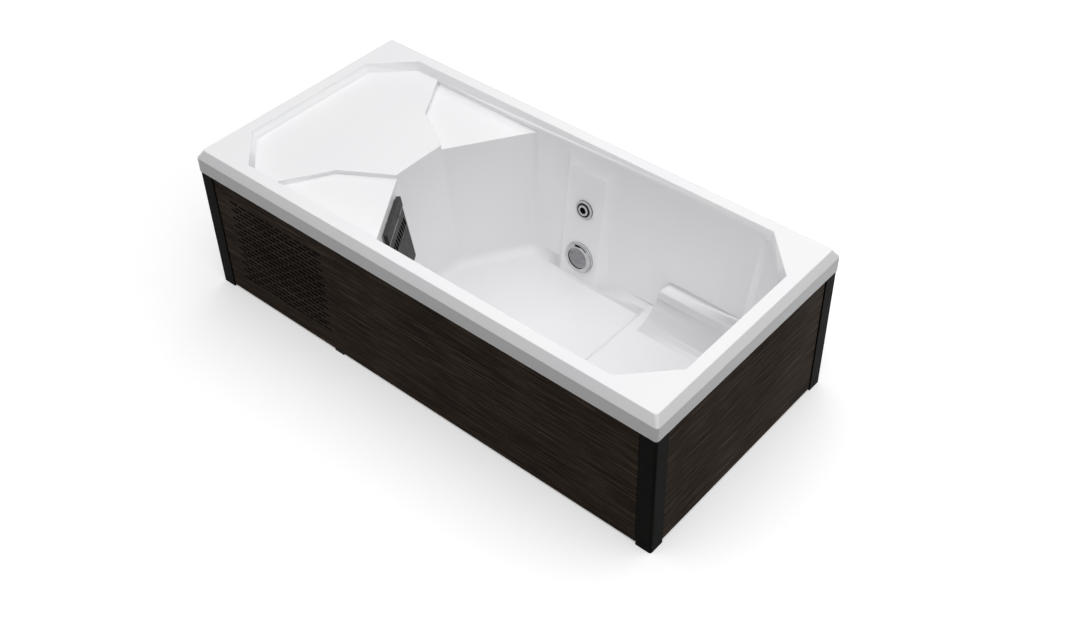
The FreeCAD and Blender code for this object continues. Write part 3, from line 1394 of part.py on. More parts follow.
def gas_lines():
    """Copper lines between the compressor, the condenser and the heat exchanger."""
    x, y = compressor_x, compressor_y
    middle = (condenser_y + shroud_y) / 2
    tube_end = vent_x - CONDENSER_WIDE / 2 - CONDENSER_TUBE_OUT
    can = COMPRESSOR_D / 2 - COMPRESSOR_FLANGE
    hot_z = condenser_tube_z(HOT_GAS_TUBE)
    hot_route = [(x, y - can, hot_z), (x, middle, hot_z), (tube_end, middle, hot_z)]
    hot = bent_bar(hot_route, GAS_PIPE_BEND, GAS_PIPE_D)
    cap = EXCHANGER_D / 2 + EXCHANGER_CAP_OUT
    liquid_z = condenser_tube_z(LIQUID_TUBE)
    beside_y = y - COMPRESSOR_D / 2 - GAS_PIPE_D
    turn_x = (x + pump_x) / 2
    liquid_route = [
        (tube_end, middle, liquid_z), (x, middle, liquid_z), (x, beside_y, liquid_z),
        (turn_x, beside_y, liquid_z), (turn_x, y, liquid_z), (pump_x - cap, y, liquid_z),
    ]
    liquid = bent_bar(liquid_route, GAS_PIPE_BEND, GAS_PIPE_D)
    cold_z = plate_z + COMPRESSOR_HIGH / 2
    cold = rod(GAS_PIPE_D, (x + can, y, cold_z), (pump_x - EXCHANGER_D / 2, y, cold_z))
    return Part.makeCompound([hot, liquid, cold])


def control_box():
    """The control box's back part, standing on the equipment plate."""
    x0, x1, y0, y1 = control_plan()
    case = block(x0, y0, plate_z, x1 - CONTROL_LID, y1, plate_z + CONTROL_HIGH)
    wall, top = CONTROL_WALL, plate_z + CONTROL_HIGH - CONTROL_WALL
    hollow = block(x0 + wall, y0 + wall, plate_z + wall, x1 - CONTROL_LID, y1 - wall, top)
    return case.cut(hollow)


def control_plan():
    """The control box's sides in plan."""
    x0 = bay_x + CONTROL_GAP
    y0 = compressor_y + COMPRESSOR_D / 2 + CONTROL_GAP
    return x0, x0 + CONTROL_DEEP, y0, y0 + CONTROL_WIDE


def control_lid():
    """The control box's lid, facing into the bay."""
    x0, x1, y0, y1 = control_plan()
    lid = block(x1 - CONTROL_LID, y0, plate_z, x1, y1, plate_z + CONTROL_HIGH)
    return lid.makeChamfer(CONTROL_EDGE, [e for e in lid.Edges if abs(e.BoundBox.XMin - x1) < SAME_PLACE])


def drain_rise_x():
    """Where the drain pipe starts to rise from under the bulkhead."""
    return mid_leg_x - TUBE / 2 - DRAIN_BEND


def drain_fitting():
    """The floor drain: a strainer in the footwell and a tail with a socket below it."""
    x, y = drain_x, drain_y
    top = floor_z + STRAINER
    strainer = rod(STRAINER_D, (x, y, floor_z), (x, y, top))
    strainer = strainer.makeFillet(STRAINER / 2, [e for e in strainer.Edges if is_level(e, top)])
    low = drain_z - DRAIN_D / 2 - SOCKET_WALL
    tail = rod(DRAIN_TAIL_D, (x, y, low), (x, y, floor_z))
    reach = x - DRAIN_TAIL_D / 2 - SOCKET_DEEP
    socket = rod(DRAIN_D + 2 * SOCKET_WALL, (x, y, drain_z), (reach, y, drain_z))
    bores = [
        rod(DRAIN_TAIL_D - 2 * SOCKET_WALL, (x, y, low + SOCKET_WALL), (x, y, floor_z)),
        rod(DRAIN_D + 2 * SOCKET_FIT, (x, y, drain_z), (reach, y, drain_z)),
    ]
    circle = (DRAIN_TAIL_D - 2 * SOCKET_WALL) / 2 - STRAINER_HOLE_D
    for i in range(STRAINER_HOLES):
        angle = 2 * math.pi * i / STRAINER_HOLES
        hx, hy = x + circle * math.cos(angle), y + circle * math.sin(angle)
        bores.append(rod(STRAINER_HOLE_D, (hx, hy, floor_z), (hx, hy, top)))
    return fuse_all([strainer, tail, socket]).cut(bores)


def drain_pipe():
    """The pipe from the floor drain, under the bulkhead and up to the valve."""
    y = drain_y
    rise = drain_rise_x()
    end_x = recess_back_x + VALVE_BACK - SOCKET_DEEP
    points = [
        (drain_x - DRAIN_TAIL_D / 2, y, drain_z), (rise, y, drain_z),
        (rise - DRAIN_RISE_RUN, y, recess_z), (end_x, y, recess_z),
    ]
    return bent_pipe(points, DRAIN_BEND, DRAIN_D, DRAIN_WALL)


def service_recess():
    """The moulded recess in the deck end panel, around the drain valve and the power inlet."""
    y0, y1 = drain_y - RECESS_WIDE / 2, drain_y + RECESS_WIDE / 2
    z0, z1 = recess_z - RECESS_HIGH / 2, recess_z + RECESS_HIGH / 2
    face = -panel_x
    edge, wall = RECESS_FLANGE, RECESS_WALL
    flange = block(face - RECESS_LIP, y0 - edge, z0 - RECESS_LIFT, face, y1 + edge, z1 + edge)
    box = block(face - RECESS_LIP, y0, z0, recess_back_x, y1, z1)
    inside = block(face - RECESS_LIP, y0 + wall, z0 + wall, recess_back_x - wall, y1 - wall, z1 - wall)
    cuts = [inside]
    for y, size in ((drain_y, VALVE_D), (drain_y + GLAND_ACROSS, GLAND_THREAD_D)):
        cuts.append(rod(size + 2 * SOCKET_FIT, (face, y, recess_z), (recess_back_x, y, recess_z)))
    return fuse_all([flange, box]).cut(cuts)


def drain_valve():
    """The ball valve's body, with the hose spigot in the recess and a socket behind it."""
    y, z = drain_y, recess_z
    back = recess_back_x + VALVE_BACK
    spigot_end = valve_front_x - SPIGOT_LENGTH
    body = rod(VALVE_D, (valve_front_x, y, z), (back, y, z))
    spigot = rod(SPIGOT_D, (spigot_end, y, z), (valve_front_x, y, z))
    boss_top = z + VALVE_D / 2 + HANDLE_GAP
    boss = rod(STEM_D + 2 * SOCKET_WALL, (stem_x, y, z), (stem_x, y, boss_top))
    bores = [
        rod(DRAIN_D - 2 * DRAIN_WALL, (spigot_end, y, z), (back, y, z)),
        rod(DRAIN_D + 2 * SOCKET_FIT, (back - SOCKET_DEEP, y, z), (back, y, z)),
        rod(STEM_D + 2 * SHAFT_FIT, (stem_x, y, stem_bottom), (stem_x, y, boss_top)),
    ]
    return fuse_all([body, spigot, boss]).cut(bores)


def drain_handle():
    """The quarter-turn handle of the drain valve and its stem."""
    y, z = drain_y, recess_z
    boss_top = z + VALVE_D / 2 + HANDLE_GAP
    low = boss_top + PULL_CLEARANCE
    high = low + HANDLE_HIGH
    half_long, half_wide = HANDLE_LENGTH / 2, HANDLE_WIDE / 2
    bar = block(stem_x - half_wide, y - half_long, low, stem_x + half_wide, y + half_long, high)
    bar = bar.makeFillet(half_wide / 2, [e for e in bar.Edges if is_level(e, high)])
    hub = rod(STEM_D + 2 * SOCKET_WALL, (stem_x, y, low), (stem_x, y, high))
    stem = rod(STEM_D, (stem_x, y, stem_bottom + PULL_CLEARANCE), (stem_x, y, high))
    return fuse_all([bar, hub, stem])


def cable_gland():
    """The gland for the supply cable, in the back wall of the recess."""
    y, z = drain_y + GLAND_ACROSS, recess_z
    front = recess_back_x - RECESS_WALL
    tip = front - GLAND_OUT
    dome = rod(GLAND_D, (tip, y, z), (front, y, z))
    dome = dome.makeFillet(GLAND_EDGE, [e for e in dome.Edges if abs(e.BoundBox.XMax - tip) < SAME_PLACE])
    thread = rod(GLAND_THREAD_D, (front, y, z), (recess_back_x + GLAND_BACK, y, z))
    nut = rod(GLAND_D, (recess_back_x, y, z), (recess_back_x + GLAND_BACK / 2, y, z))
    bore = rod(GLAND_BORE, (tip, y, z), (recess_back_x + GLAND_BACK, y, z))
    return fuse_all([dome, thread, nut]).cut(bore)


PARTS = {
    "acrylic_shell": acrylic_shell,
    "base_rails": base_rails,
    "cross_members": cross_members,
    "corner_legs": corner_legs,
    "mid_legs": mid_legs,
    "top_rails": top_rails,
    "foot_pads": foot_pads,
    "base_sheet": base_sheet,
    "plate_bolts": plate_bolts,
    "corner_post_front_deck": lambda: corner_post(-1, -1),
    "corner_post_front_seat": lambda: corner_post(1, -1),
    "corner_post_back_deck": lambda: corner_post(-1, 1),
    "corner_post_back_seat": lambda: corner_post(1, 1),
    "front_panel": front_panel,
    "back_panel": back_panel,
    "deck_end_panel": deck_end_panel,
    "seat_end_panel": lambda: end_panel(1),
    "panel_clips": panel_clips,
    "skimmer_box": skimmer_box,
    "skimmer_gasket": skimmer_gasket,
    "skimmer_grille": skimmer_grille,
    "filter_cartridge": filter_cartridge,
    "jet_gasket": jet_gasket,
    "jet_fitting": jet_fitting,
    "jet_collar": jet_collar,
    "jet_nozzle": jet_nozzle,
    "jet_nut": jet_nut,
    "jet_body": jet_body,
    "suction_gasket": suction_gasket,
    "suction_fitting": suction_fitting,
    "suction_cover": suction_cover,
    "suction_screen": suction_screen,
    "suction_screws": suction_screws,
    "suction_nut": suction_nut,
    "suction_body": suction_body,
    "suction_tee": suction_tee,
    "suction_pipe": suction_pipe,
    "skimmer_pipe": skimmer_pipe,
    "pump_volute": pump_volute,
    "pump_motor": pump_motor,
    "pump_impeller": pump_impeller,
    "pump_foot": pump_foot,
    "equipment_plate": equipment_plate,
    "condenser_coil": condenser_coil,
    "fan_shroud": fan_shroud,
    "fan_motor": fan_motor,
    "fan_rotor": fan_rotor,
    "compressor": compressor,
    "heat_exchanger": heat_exchanger,
    "chiller_pipe": chiller_pipe,
    "return_pipe": return_pipe,
    "gas_lines": gas_lines,
    "control_box": control_box,
    "control_lid": control_lid,
    "drain_fitting": drain_fitting,
    "drain_pipe": drain_pipe,
    "service_recess": service_recess,
    "drain_valve": drain_valve,
    "drain_handle": drain_handle,
    "cable_gland": cable_gland,
}

if __name__ == "__main__":
    os.makedirs("parts", exist_ok=True)
    for name, make in PARTS.items():
        make().exportStep(f"parts/{name}.step")
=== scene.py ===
"""The looks of a cold plunge tub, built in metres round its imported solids."""

import json
import logging
import math
from collections.abc import Callable, Iterable
from dataclasses import dataclass
from enum import Enum

import bmesh
import bpy
from mathutils import Matrix, Vector


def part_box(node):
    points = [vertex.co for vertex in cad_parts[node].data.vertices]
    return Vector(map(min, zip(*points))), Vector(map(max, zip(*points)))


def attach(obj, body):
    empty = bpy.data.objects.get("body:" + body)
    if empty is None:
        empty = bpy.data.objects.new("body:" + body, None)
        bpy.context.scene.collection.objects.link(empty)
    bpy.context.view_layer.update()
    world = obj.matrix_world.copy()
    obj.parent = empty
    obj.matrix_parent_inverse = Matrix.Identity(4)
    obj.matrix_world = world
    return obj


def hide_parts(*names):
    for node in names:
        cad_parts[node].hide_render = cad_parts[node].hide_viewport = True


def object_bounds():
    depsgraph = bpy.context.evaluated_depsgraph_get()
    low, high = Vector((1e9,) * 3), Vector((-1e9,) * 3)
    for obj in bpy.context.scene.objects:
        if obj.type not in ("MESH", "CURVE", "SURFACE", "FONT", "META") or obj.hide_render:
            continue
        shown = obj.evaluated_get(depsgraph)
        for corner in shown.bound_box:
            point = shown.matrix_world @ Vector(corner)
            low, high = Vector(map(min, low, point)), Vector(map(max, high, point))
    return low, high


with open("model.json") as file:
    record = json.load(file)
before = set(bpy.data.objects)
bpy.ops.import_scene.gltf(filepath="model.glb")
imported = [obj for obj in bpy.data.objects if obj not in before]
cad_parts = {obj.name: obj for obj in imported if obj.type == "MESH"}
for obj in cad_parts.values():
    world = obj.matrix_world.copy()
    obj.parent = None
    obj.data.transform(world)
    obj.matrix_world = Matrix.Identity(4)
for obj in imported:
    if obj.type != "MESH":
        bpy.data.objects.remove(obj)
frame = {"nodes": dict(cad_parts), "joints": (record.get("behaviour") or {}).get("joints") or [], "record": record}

LOG = logging.getLogger("tub")
CAD_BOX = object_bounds()
MM = 0.001

# Which body and which material slot each solid of the frame belongs to
BODY_OF = {node: body for body, nodes in frame["record"]["behaviour"]["bodies"].items() for node in nodes}
SLOT_OF = {row["node"]: row["material_slot"] for row in frame["record"]["subparts"]}
JOINTS = {row["name"]: row for row in frame["joints"]}

# How near points are one point, how flat a face is, and from what angles an edge is rounded or drawn sharp
WELD = 0.001 * MM
FLAT = math.radians(0.3)
SHARP = math.radians(28)
CREASE = math.radians(40)

# Sides of a turned piece and of a thin round one or a hole, and steps in a rounded corner
TURN_STEPS = 96
THIN_SIDES = 16
ARC_STEPS = 4

# How the rounding of an edge is cut and curved
EDGE_STEPS = 2
EDGE_PROFILE = 0.6

# A face is a wall where its normal points out of the surface by less than this
WALL = 0.5

# How finely the clouds and the grain of a finish break up, and the part of the noise that they use
CLOUD_DETAIL = 4.0
GRAIN_DETAIL = 2.0
CLOUD_SPAN = (0.3, 0.7)
TINT_SPAN = (0.35, 0.65)

LEVEL = Vector((1, 0, 0))
UP = Vector((0, 0, 1))

Corner = tuple[float, float, float]
Point = tuple[float, float]
Span = tuple[float, float]
Band = tuple[float, float, float, float]
Colour = tuple[float, float, float, float]
Socket = bpy.types.NodeSocket
Tree = bpy.types.NodeTree
Shape = bmesh.types.BMesh
Piece = bpy.types.Object


def linear(code: str) -> Colour:
    """Turn an sRGB hex colour into linear red, green, blue and alpha.

    Args:
        code: Six hex digits.

    Returns:
        The four channels, with full alpha.
    """
    shares = [int(code[i:i + 2], 16) / 255 for i in (0, 2, 4)]
    channels = [s / 12.92 if s <= 0.04045 else ((s + 0.055) / 1.055) ** 2.4 for s in shares]
    return (*channels, 1.0)


def add_node(tree: Tree, kind: str, settings: dict | None = None,
             sockets: dict | None = None) -> bpy.types.Node:
    """Add a node with its settings, its constants and its links.

    Args:
        tree: The tree that gets the node.
        kind: The node's type.
        settings: Properties of the node by name.
        sockets: For each input, a socket or list of sockets to link, or a constant.

    Returns:
        The new node.
    """
    node = tree.nodes.new(kind)
    for name, value in (settings or {}).items():
        setattr(node, name, value)
    for name, value in (sockets or {}).items():
        if isinstance(value, Socket):
            tree.links.new(value, node.inputs[name])
        elif isinstance(value, list):
            for source in value:
                tree.links.new(source, node.inputs[name])
        else:
            node.inputs[name].default_value = value
    return node


def bare_tree(owner: bpy.types.Material | bpy.types.World) -> Tree:
    """The node tree of a material or a world, with no nodes in it.

    Args:
        owner: The material or world.

    Returns:
        Its empty tree.
    """
    owner.use_nodes = True
    owner.node_tree.nodes.clear()
    return owner.node_tree


@dataclass(frozen=True)
class Finish:
    """A surface with one base colour, clouded by a second one, and a fine grain that catches the light.

    Sizes are in millimetres. A grain that is finer on the real surface is drawn at 0.4 to 1 mm, as coarse as
    it needs to be to show.
    """

    name: str
    colour: str
    cloud: str
    roughness: float
    grain: float
    depth: float
    cloud_size: float = 60.0
    spread: float = 0.06
    metallic: float = 0.0
    ior: float = 1.5
    specular: float = 0.5
    stretch: tuple[float, float, float] = (1.0, 1.0, 1.0)

    def material(self) -> bpy.types.Material:
        """Build the material on first use and give it back.

        Returns:
            The material.
        """
        found = bpy.data.materials.get(self.name)
        if found:
            return found
        made = bpy.data.materials.new(self.name)
        tree = bare_tree(made)
        place = add_node(tree, "ShaderNodeTexCoord").outputs["Object"]
        colour, rough, height = self.patterns(tree, place)
        bump = add_node(tree, "ShaderNodeBump", None,
                        {"Strength": 1.0, "Distance": self.depth * MM, "Height": height})
        constants = {"Metallic": self.metallic, "Specular IOR Level": self.specular}
        if not self.metallic:
            constants["IOR"] = self.ior
        links = {"Base Color": colour, "Roughness": rough, "Normal": bump.outputs["Normal"]}
        shader = add_node(tree, "ShaderNodeBsdfPrincipled", None, constants | links)
        add_node(tree, "ShaderNodeOutputMaterial", None, {"Surface": shader.outputs["BSDF"]})
        made.diffuse_color = linear(self.colour)
        return made

    def patterns(self, tree: Tree, place: Socket) -> tuple[Socket, Socket, Socket]:
        """Draw the finish.

        Args:
            tree: The material's tree.
            place: Where a point lies on the piece.

        Returns:
            The colour, the roughness and the height.
        """
        clouds = add_node(tree, "ShaderNodeTexNoise", None,
                          {"Vector": place, "Scale": 1 / (self.cloud_size * MM), "Detail": CLOUD_DETAIL})
        tint = self.tint(tree, clouds.outputs["Fac"])
        rough = add_node(tree, "ShaderNodeMapRange", None, {
            "Value": clouds.outputs["Fac"], "From Min": CLOUD_SPAN[0], "From Max": CLOUD_SPAN[1],
            "To Min": self.roughness - self.spread, "To Max": self.roughness + self.spread})
        drawn = add_node(tree, "ShaderNodeMapping", None, {"Vector": place, "Scale": self.stretch})
        grain = add_node(tree, "ShaderNodeTexNoise", None, {
            "Vector": drawn.outputs["Vector"], "Scale": 1 / (self.grain * MM), "Detail": GRAIN_DETAIL})
        return tint, rough.outputs["Result"], grain.outputs["Fac"]

    def tint(self, tree: Tree, share: Socket) -> Socket:
        """Mix the base colour and the cloud colour.

        Args:
            tree: The material's tree.
            share: How much of the cloud colour there is, about a half.

        Returns:
            The mixed colour.
        """
        spread = add_node(tree, "ShaderNodeMapRange", None, {
            "Value": share, "From Min": TINT_SPAN[0], "From Max": TINT_SPAN[1]})
        mixed = add_node(tree, "ShaderNodeMix", {"data_type": "RGBA"}, {
            0: spread.outputs["Result"], 6: linear(self.colour), 7: linear(self.cloud)})
        return mixed.outputs[2]


@dataclass(frozen=True)
class StreakedFinish(Finish):
    """A board whose printed grain runs level: short paler and darker streaks close above each other."""

    streak: str = "66584D"
    streak_gap: float = 3.0
    streak_run: float = 170.0
    streak_detail: float = 3.0
    streak_breaks: float = 0.6
    streak_span: Span = (0.46, 0.74)

    def patterns(self, tree: Tree, place: Socket) -> tuple[Socket, Socket, Socket]:
        """Draw the streaks over the clouded ground.

        Args:
            tree: The material's tree.
            place: Where a point lies on the piece.

        Returns:
            The colour, the roughness and the height.
        """
        ground, rough, _ = super().patterns(tree, place)
        run, gap = 1 / (self.streak_run * MM), 1 / (self.streak_gap * MM)
        level = add_node(tree, "ShaderNodeMapping", None, {"Vector": place, "Scale": (run, run, gap)})
        lines = add_node(tree, "ShaderNodeTexNoise", None, {
            "Vector": level.outputs["Vector"], "Scale": 1.0, "Detail": self.streak_detail,
            "Roughness": self.streak_breaks})
        share = add_node(tree, "ShaderNodeMapRange", None, {
            "Value": lines.outputs["Fac"], "From Min": self.streak_span[0], "From Max": self.streak_span[1]})
        mixed = add_node(tree, "ShaderNodeMix", {"data_type": "RGBA"}, {
            0: share.outputs["Result"], 6: ground, 7: linear(self.streak)})
        return mixed.outputs[2], rough, lines.outputs["Fac"]


@dataclass(frozen=True)
class SpangledFinish(Finish):
    """A zinc coat with flat crystals, each a little lighter or darker than the next."""

    crystal: float = 9.0

    def patterns(self, tree: Tree, place: Socket) -> tuple[Socket, Socket, Socket]:
        """Draw the crystals.

        Args:
            tree: The material's tree.
            place: Where a point lies on the piece.

        Returns:
            The colour, the roughness and the height.
        """
        _, rough, height = super().patterns(tree, place)
        cells = add_node(tree, "ShaderNodeTexVoronoi", None, {
            "Vector": place, "Scale": 1 / (self.crystal * MM)})
        grey = add_node(tree, "ShaderNodeSeparateColor", None, {"Color": cells.outputs["Color"]})
        return self.tint(tree, grey.outputs["Red"]), rough, height


# Painted highlight on the charcoal grille: a paler colour on the sloping face below its ridge, where the edge
# catches light
PAINTED_HIGHLIGHT_CHARCOAL = Finish("abs_moulded_charcoal_painted_highlight", "9A9997", "868583", 0.4, 0.9, 0.04, 40.0)
# Painted shade in holes, slots and gaps, and the black of the nozzle's bore: black that stays dark in any light
BLACK_AND_PAINTED_SHADE = Finish("black_and_painted_shade", "060606", "0A0A0A", 0.7, 0.9, 0.06, specular=0.1)


class Slot(Enum):
    """The finish of each material slot of the record."""

    # Vacuum-formed sheet: a white skin with a soft gloss and a very slight waviness in its reflections
    ACRYLIC = Finish("acrylic_vacuum_formed", "EAEAEB", "E8E8EA", 0.24, 14.0, 0.01, 400.0, 0.02, ior=1.49,
                     specular=0.25)
    # Welded tube in a zinc coat: pale crystals with a dull shine
    FRAME_STEEL = SpangledFinish("steel_galvanised", "A3A8AB", "84898C", 0.42, 1.5, 0.03, metallic=1.0)
    # Printed composite board: near black brown with fine level streaks, hardly any shine
    SKIRT_BOARD = StreakedFinish("composite_board_printed", "30271F", "241C17", 0.5, 1.0, 0.12, 220.0,
                                 specular=0.01)
    # Extruded cover strip: dull black with faint draw lines up its length
    CORNER_BLACK = Finish("pvc_extruded_black", "121110", "1A1918", 0.42, 0.7, 0.04, 90.0, specular=0.01,
                          stretch=(1.0, 1.0, 0.02))
    # Moulded with a spark-eroded tool: black with a fine even texture
    MOULDED_BLACK = Finish("polypropylene_moulded_black", "0E0E0D", "161514", 0.48, 0.9, 0.06, specular=0.2)
    # Moulded grille: charcoal, matt on its faces, with the same fine texture
    GRILLE_CHARCOAL = Finish("abs_moulded_charcoal", "1A1918", "222120", 0.46, 0.9, 0.06, 40.0, specular=0.3)
    # Pressure pipe and fittings: warm white with a waxy gloss
    WHITE_PLASTIC = Finish("pvc_moulded_white", "DEDDD8", "D3D1CA", 0.34, 6.0, 0.05, 50.0)
    # Wall fittings: pale grey, smooth, slightly clouded by water marks
    FITTING_PALE = Finish("abs_moulded_pale", "CDCDCF", "BDBDC0", 0.34, 2.0, 0.02, 30.0)
    # Screen and lid: mid grey, mottled by lime from the water
    SCREEN_GREY = Finish("abs_moulded_grey", "858488", "A9A8AB", 0.42, 0.8, 0.05, 16.0, 0.08)
    # Rubber seals: dull black
    SEAL_RUBBER = Finish("rubber_moulded", "1C1C1C", "262625", 0.66, 0.6, 0.05)
    # Spun fleece: off-white fibres that lie in all directions
    FILTER_FLEECE = Finish("polyester_fleece_spun", "E3E1D9", "CFCCC0", 0.85, 0.7, 0.35, 12.0, specular=0.2)
    # Turned fasteners: bright grey metal with a fine scratched grain
    STAINLESS = Finish("stainless_steel_turned", "C4C5C6", "AEB0B2", 0.26, 0.4, 0.02, 12.0, metallic=1.0)
    # Powder coat on motors and casings: black with an orange-peel skin
    MOTOR_PAINT = Finish("steel_powder_coated", "212325", "2A2C2E", 0.4, 2.2, 0.08)
    # Glass-filled nylon: dark grey with a dry, uneven skin
    IMPELLER_PLASTIC = Finish("nylon_glass_filled", "3A3A3A", "484847", 0.55, 0.7, 0.06, 15.0)
    # Rolled fins: bright aluminium, dulled in patches
    COIL_ALUMINIUM = Finish("aluminium_rolled", "C9CBCC", "A9ACAE", 0.36, 0.8, 0.03, 25.0, metallic=1.0)
    # Blow-moulded casing: dark blue-grey with a soft sheen
    EXCHANGER_PLASTIC = Finish("polyethylene_blow_moulded", "2B2F36", "363B42", 0.45, 4.0, 0.08)
    # Drawn tube: copper, browned in patches
    COPPER = Finish("copper_drawn", "B87850", "8F5A3C", 0.32, 0.6, 0.03, 30.0, metallic=1.0)
    # Machined valve: yellow brass with dull patches
    VALVE_BRASS = Finish("brass_machined", "C2A25C", "A1854A", 0.3, 0.5, 0.02, 20.0, metallic=1.0)


def slot_of(node: str) -> Slot:
    """The finish slot of a solid of the frame."""
    return Slot[SLOT_OF[node].upper()]


@dataclass(frozen=True)
class Place:
    """A local frame on the tub: an origin, the way out of a surface and a way along it."""

    origin: Vector
    out: Vector
    along: Vector

    @classmethod
    def around(cls, node: str, out: Vector, along: Vector, foot: bool = False) -> "Place":
        """Set a frame in the middle of a solid.

        Args:
            node: The solid.
            out: The way out of the surface.
            along: A way along the surface.
            foot: Whether the origin lies on the solid's inner face instead of in its middle.

        Returns:
            The frame.
        """
        start = cls(Vector((0, 0, 0)), out, along)
        low, high = start.extent(node)
        middle = (low + high) / 2
        if foot:
            middle.z = low.z
        return cls(start.matrix() @ middle, out, along)

    def matrix(self) -> Matrix:
        """From this frame to the tub's frame."""
        turn = Matrix((self.along, self.out.cross(self.along), self.out)).transposed()
        return Matrix.Translation(self.origin) @ turn.to_4x4()

    def extent(self, node: str) -> tuple[Vector, Vector]:
        """The box of a solid, seen in this frame.

        Args:
            node: The solid.

        Returns:
            Its lowest and its highest corner.
        """
        back = self.matrix().inverted()
        seen = [back @ vertex.co for vertex in frame["nodes"][node].data.vertices]
        return Vector([min(axis) for axis in zip(*seen)]), Vector([max(axis) for axis in zip(*seen)])


def new_piece(name: str, shape: Shape) -> Piece:
    """Make an object from a shape, which is used up.

    Args:
        name: The name of the solid that the object stands for.
        shape: The finished shape.

    Returns:
        The object, linked into the scene.
    """
    mesh = bpy.data.meshes.new(f"{name}_piece")
    shape.to_mesh(mesh)
    shape.free()
    piece = bpy.data.objects.new(f"{name}_piece", mesh)
    bpy.context.scene.collection.objects.link(piece)
    return piece


def settle(piece: Piece) -> Piece:
    """Turn a piece and its modifiers into a plain mesh.

    Args:
        piece: The piece, which is changed.

    Returns:
        The piece.
    """
    graph = bpy.context.evaluated_depsgraph_get()
    mesh = bpy.data.meshes.new_from_object(piece.evaluated_get(graph), preserve_all_data_layers=True,
                                           depsgraph=graph)
    piece.modifiers.clear()
    piece.data = mesh
    return piece


def smooth(piece: Piece) -> Piece:
    """Shade a piece smooth, with flat faces kept flat and sharp edges kept sharp.

    Args:
        piece: The piece, which is changed.

    Returns:
        The piece.
    """
    piece.data.shade_smooth()
    piece.data.set_sharp_from_angle(angle=CREASE)
    normals = piece.modifiers.new("even_normals", "WEIGHTED_NORMAL")
    normals.keep_sharp = True
    return settle(piece)


def round_edges(shape: Shape, width: float) -> None:
    """Round every sharp edge of a shape by a width in metres."""
    sharp = [edge for edge in shape.edges if edge.is_manifold and edge.calc_face_angle() > SHARP]
    bmesh.ops.bevel(shape, geom=sharp, offset=width, segments=EDGE_STEPS, profile=EDGE_PROFILE,
                    affect="EDGES", clamp_overlap=True)


def welded(mesh: bpy.types.Mesh) -> Shape:
    """Copy a mesh, merge its doubles and join its flat faces.

    Args:
        mesh: The mesh, which stays as it is.

    Returns:
        The cleaned copy.
    """
    shape = bmesh.new()
    shape.from_mesh(mesh)
    bmesh.ops.remove_doubles(shape, verts=shape.verts, dist=WELD)
    bmesh.ops.dissolve_limit(shape, angle_limit=FLAT, verts=shape.verts, edges=shape.edges)
    return shape


def softened(node: str, edge: float) -> Piece:
    """Copy a solid of the frame and round its sharp edges.

    Args:
        node: The solid.
        edge: The width of the rounding in millimetres.

    Returns:
        The new piece.
    """
    shape = welded(frame["nodes"][node].data)
    if edge:
        round_edges(shape, edge * MM)
    return smooth(new_piece(node, shape))


def rounded_outline(corners: Iterable[Corner]) -> list[Point]:
    """Round the corners of a closed outline.

    Args:
        corners: Each corner's radius and height and the radius of its rounding.

    Returns:
        The outline's points.
    """
    ring = list(corners)
    points = []
    for i, (x, y, radius) in enumerate(ring):
        here = Vector((x, y))
        if not radius:
            points.append((x, y))
            continue
        before = (Vector(ring[i - 1][:2]) - here).normalized()
        after = (Vector(ring[(i + 1) % len(ring)][:2]) - here).normalized()
        half = before.angle(after) / 2
        middle = here + (before + after).normalized() * (radius / math.sin(half))
        start = here + before * (radius / math.tan(half)) - middle
        end = here + after * (radius / math.tan(half)) - middle
        for step in range(ARC_STEPS + 1):
            share = step / ARC_STEPS
            ray = start.lerp(end, share).normalized() * radius
            points.append(tuple(middle + ray))
    return points


def lofted(sections: Iterable[Iterable[Vector]], closed: bool = False) -> Shape:
    """Join sections that have the same number of corners by walls.

    Args:
        sections: The corners of each section, in metres.
        closed: Whether the last section meets the first. If not, both ends get a face.

    Returns:
        A closed solid.
    """
    shape = bmesh.new()
    rings = [[shape.verts.new(corner) for corner in section] for section in sections]
    pairs = list(zip(rings, rings[1:]))
    if closed:
        pairs.append((rings[-1], rings[0]))
    for before, after in pairs:
        for j in range(len(before)):
            k = (j + 1) % len(before)
            shape.faces.new((before[j], after[j], after[k], before[k]))
    if not closed:
        shape.faces.new(rings[0])
        shape.faces.new(rings[-1][::-1])
    bmesh.ops.recalc_face_normals(shape, faces=shape.faces)
    return shape


def swung(outline: Iterable[Point], angles: Iterable[float], place: Place) -> list[list[Vector]]:
    """Swing an outline about a place's axis.

    Args:
        outline: Radius and height of each point, in metres.
        angles: Where the outline stops on its way round, in radians.
        place: The frame whose Z is the axis.

    Returns:
        The outline's points at each stop.
    """
    points = list(outline)
    matrix = place.matrix()
    stops = [Vector((math.cos(angle), math.sin(angle), 0)) for angle in angles]
    return [[matrix @ (across * r + UP * z) for r, z in points] for across in stops]


def turned(outline: Iterable[Point], place: Place) -> Shape:
    """A closed ring, turned from an outline of radii and heights in metres about a place's Z."""
    angles = [2 * math.pi * step / TURN_STEPS for step in range(TURN_STEPS)]
    return lofted(swung(outline, angles, place), closed=True)


def arc_band(band: Band, heights: Span, place: Place) -> Shape:
    """A piece of a flat ring.

    Args:
        band: Its two radii in millimetres and its two angles in degrees.
        heights: Its lower and upper faces in millimetres.
        place: The frame whose Z is the ring's axis.

    Returns:
        A closed solid.
    """
    inner, outer, start, end = band
    low, high = heights
    steps = 2 * ARC_STEPS
    angles = [math.radians(start + (end - start) * step / steps) for step in range(steps + 1)]
    corners = [(inner, low), (outer, low), (outer, high), (inner, high)]
    return lofted(swung([(r * MM, z * MM) for r, z in corners], angles, place))


def prism(section: Iterable[Point], start: float, end: float) -> Shape:
    """A bar along X between two places, with the Y and Z of its section's corners in metres."""
    corners = list(section)
    return lofted([Vector((x, y, z)) for y, z in corners] for x in (start, end))


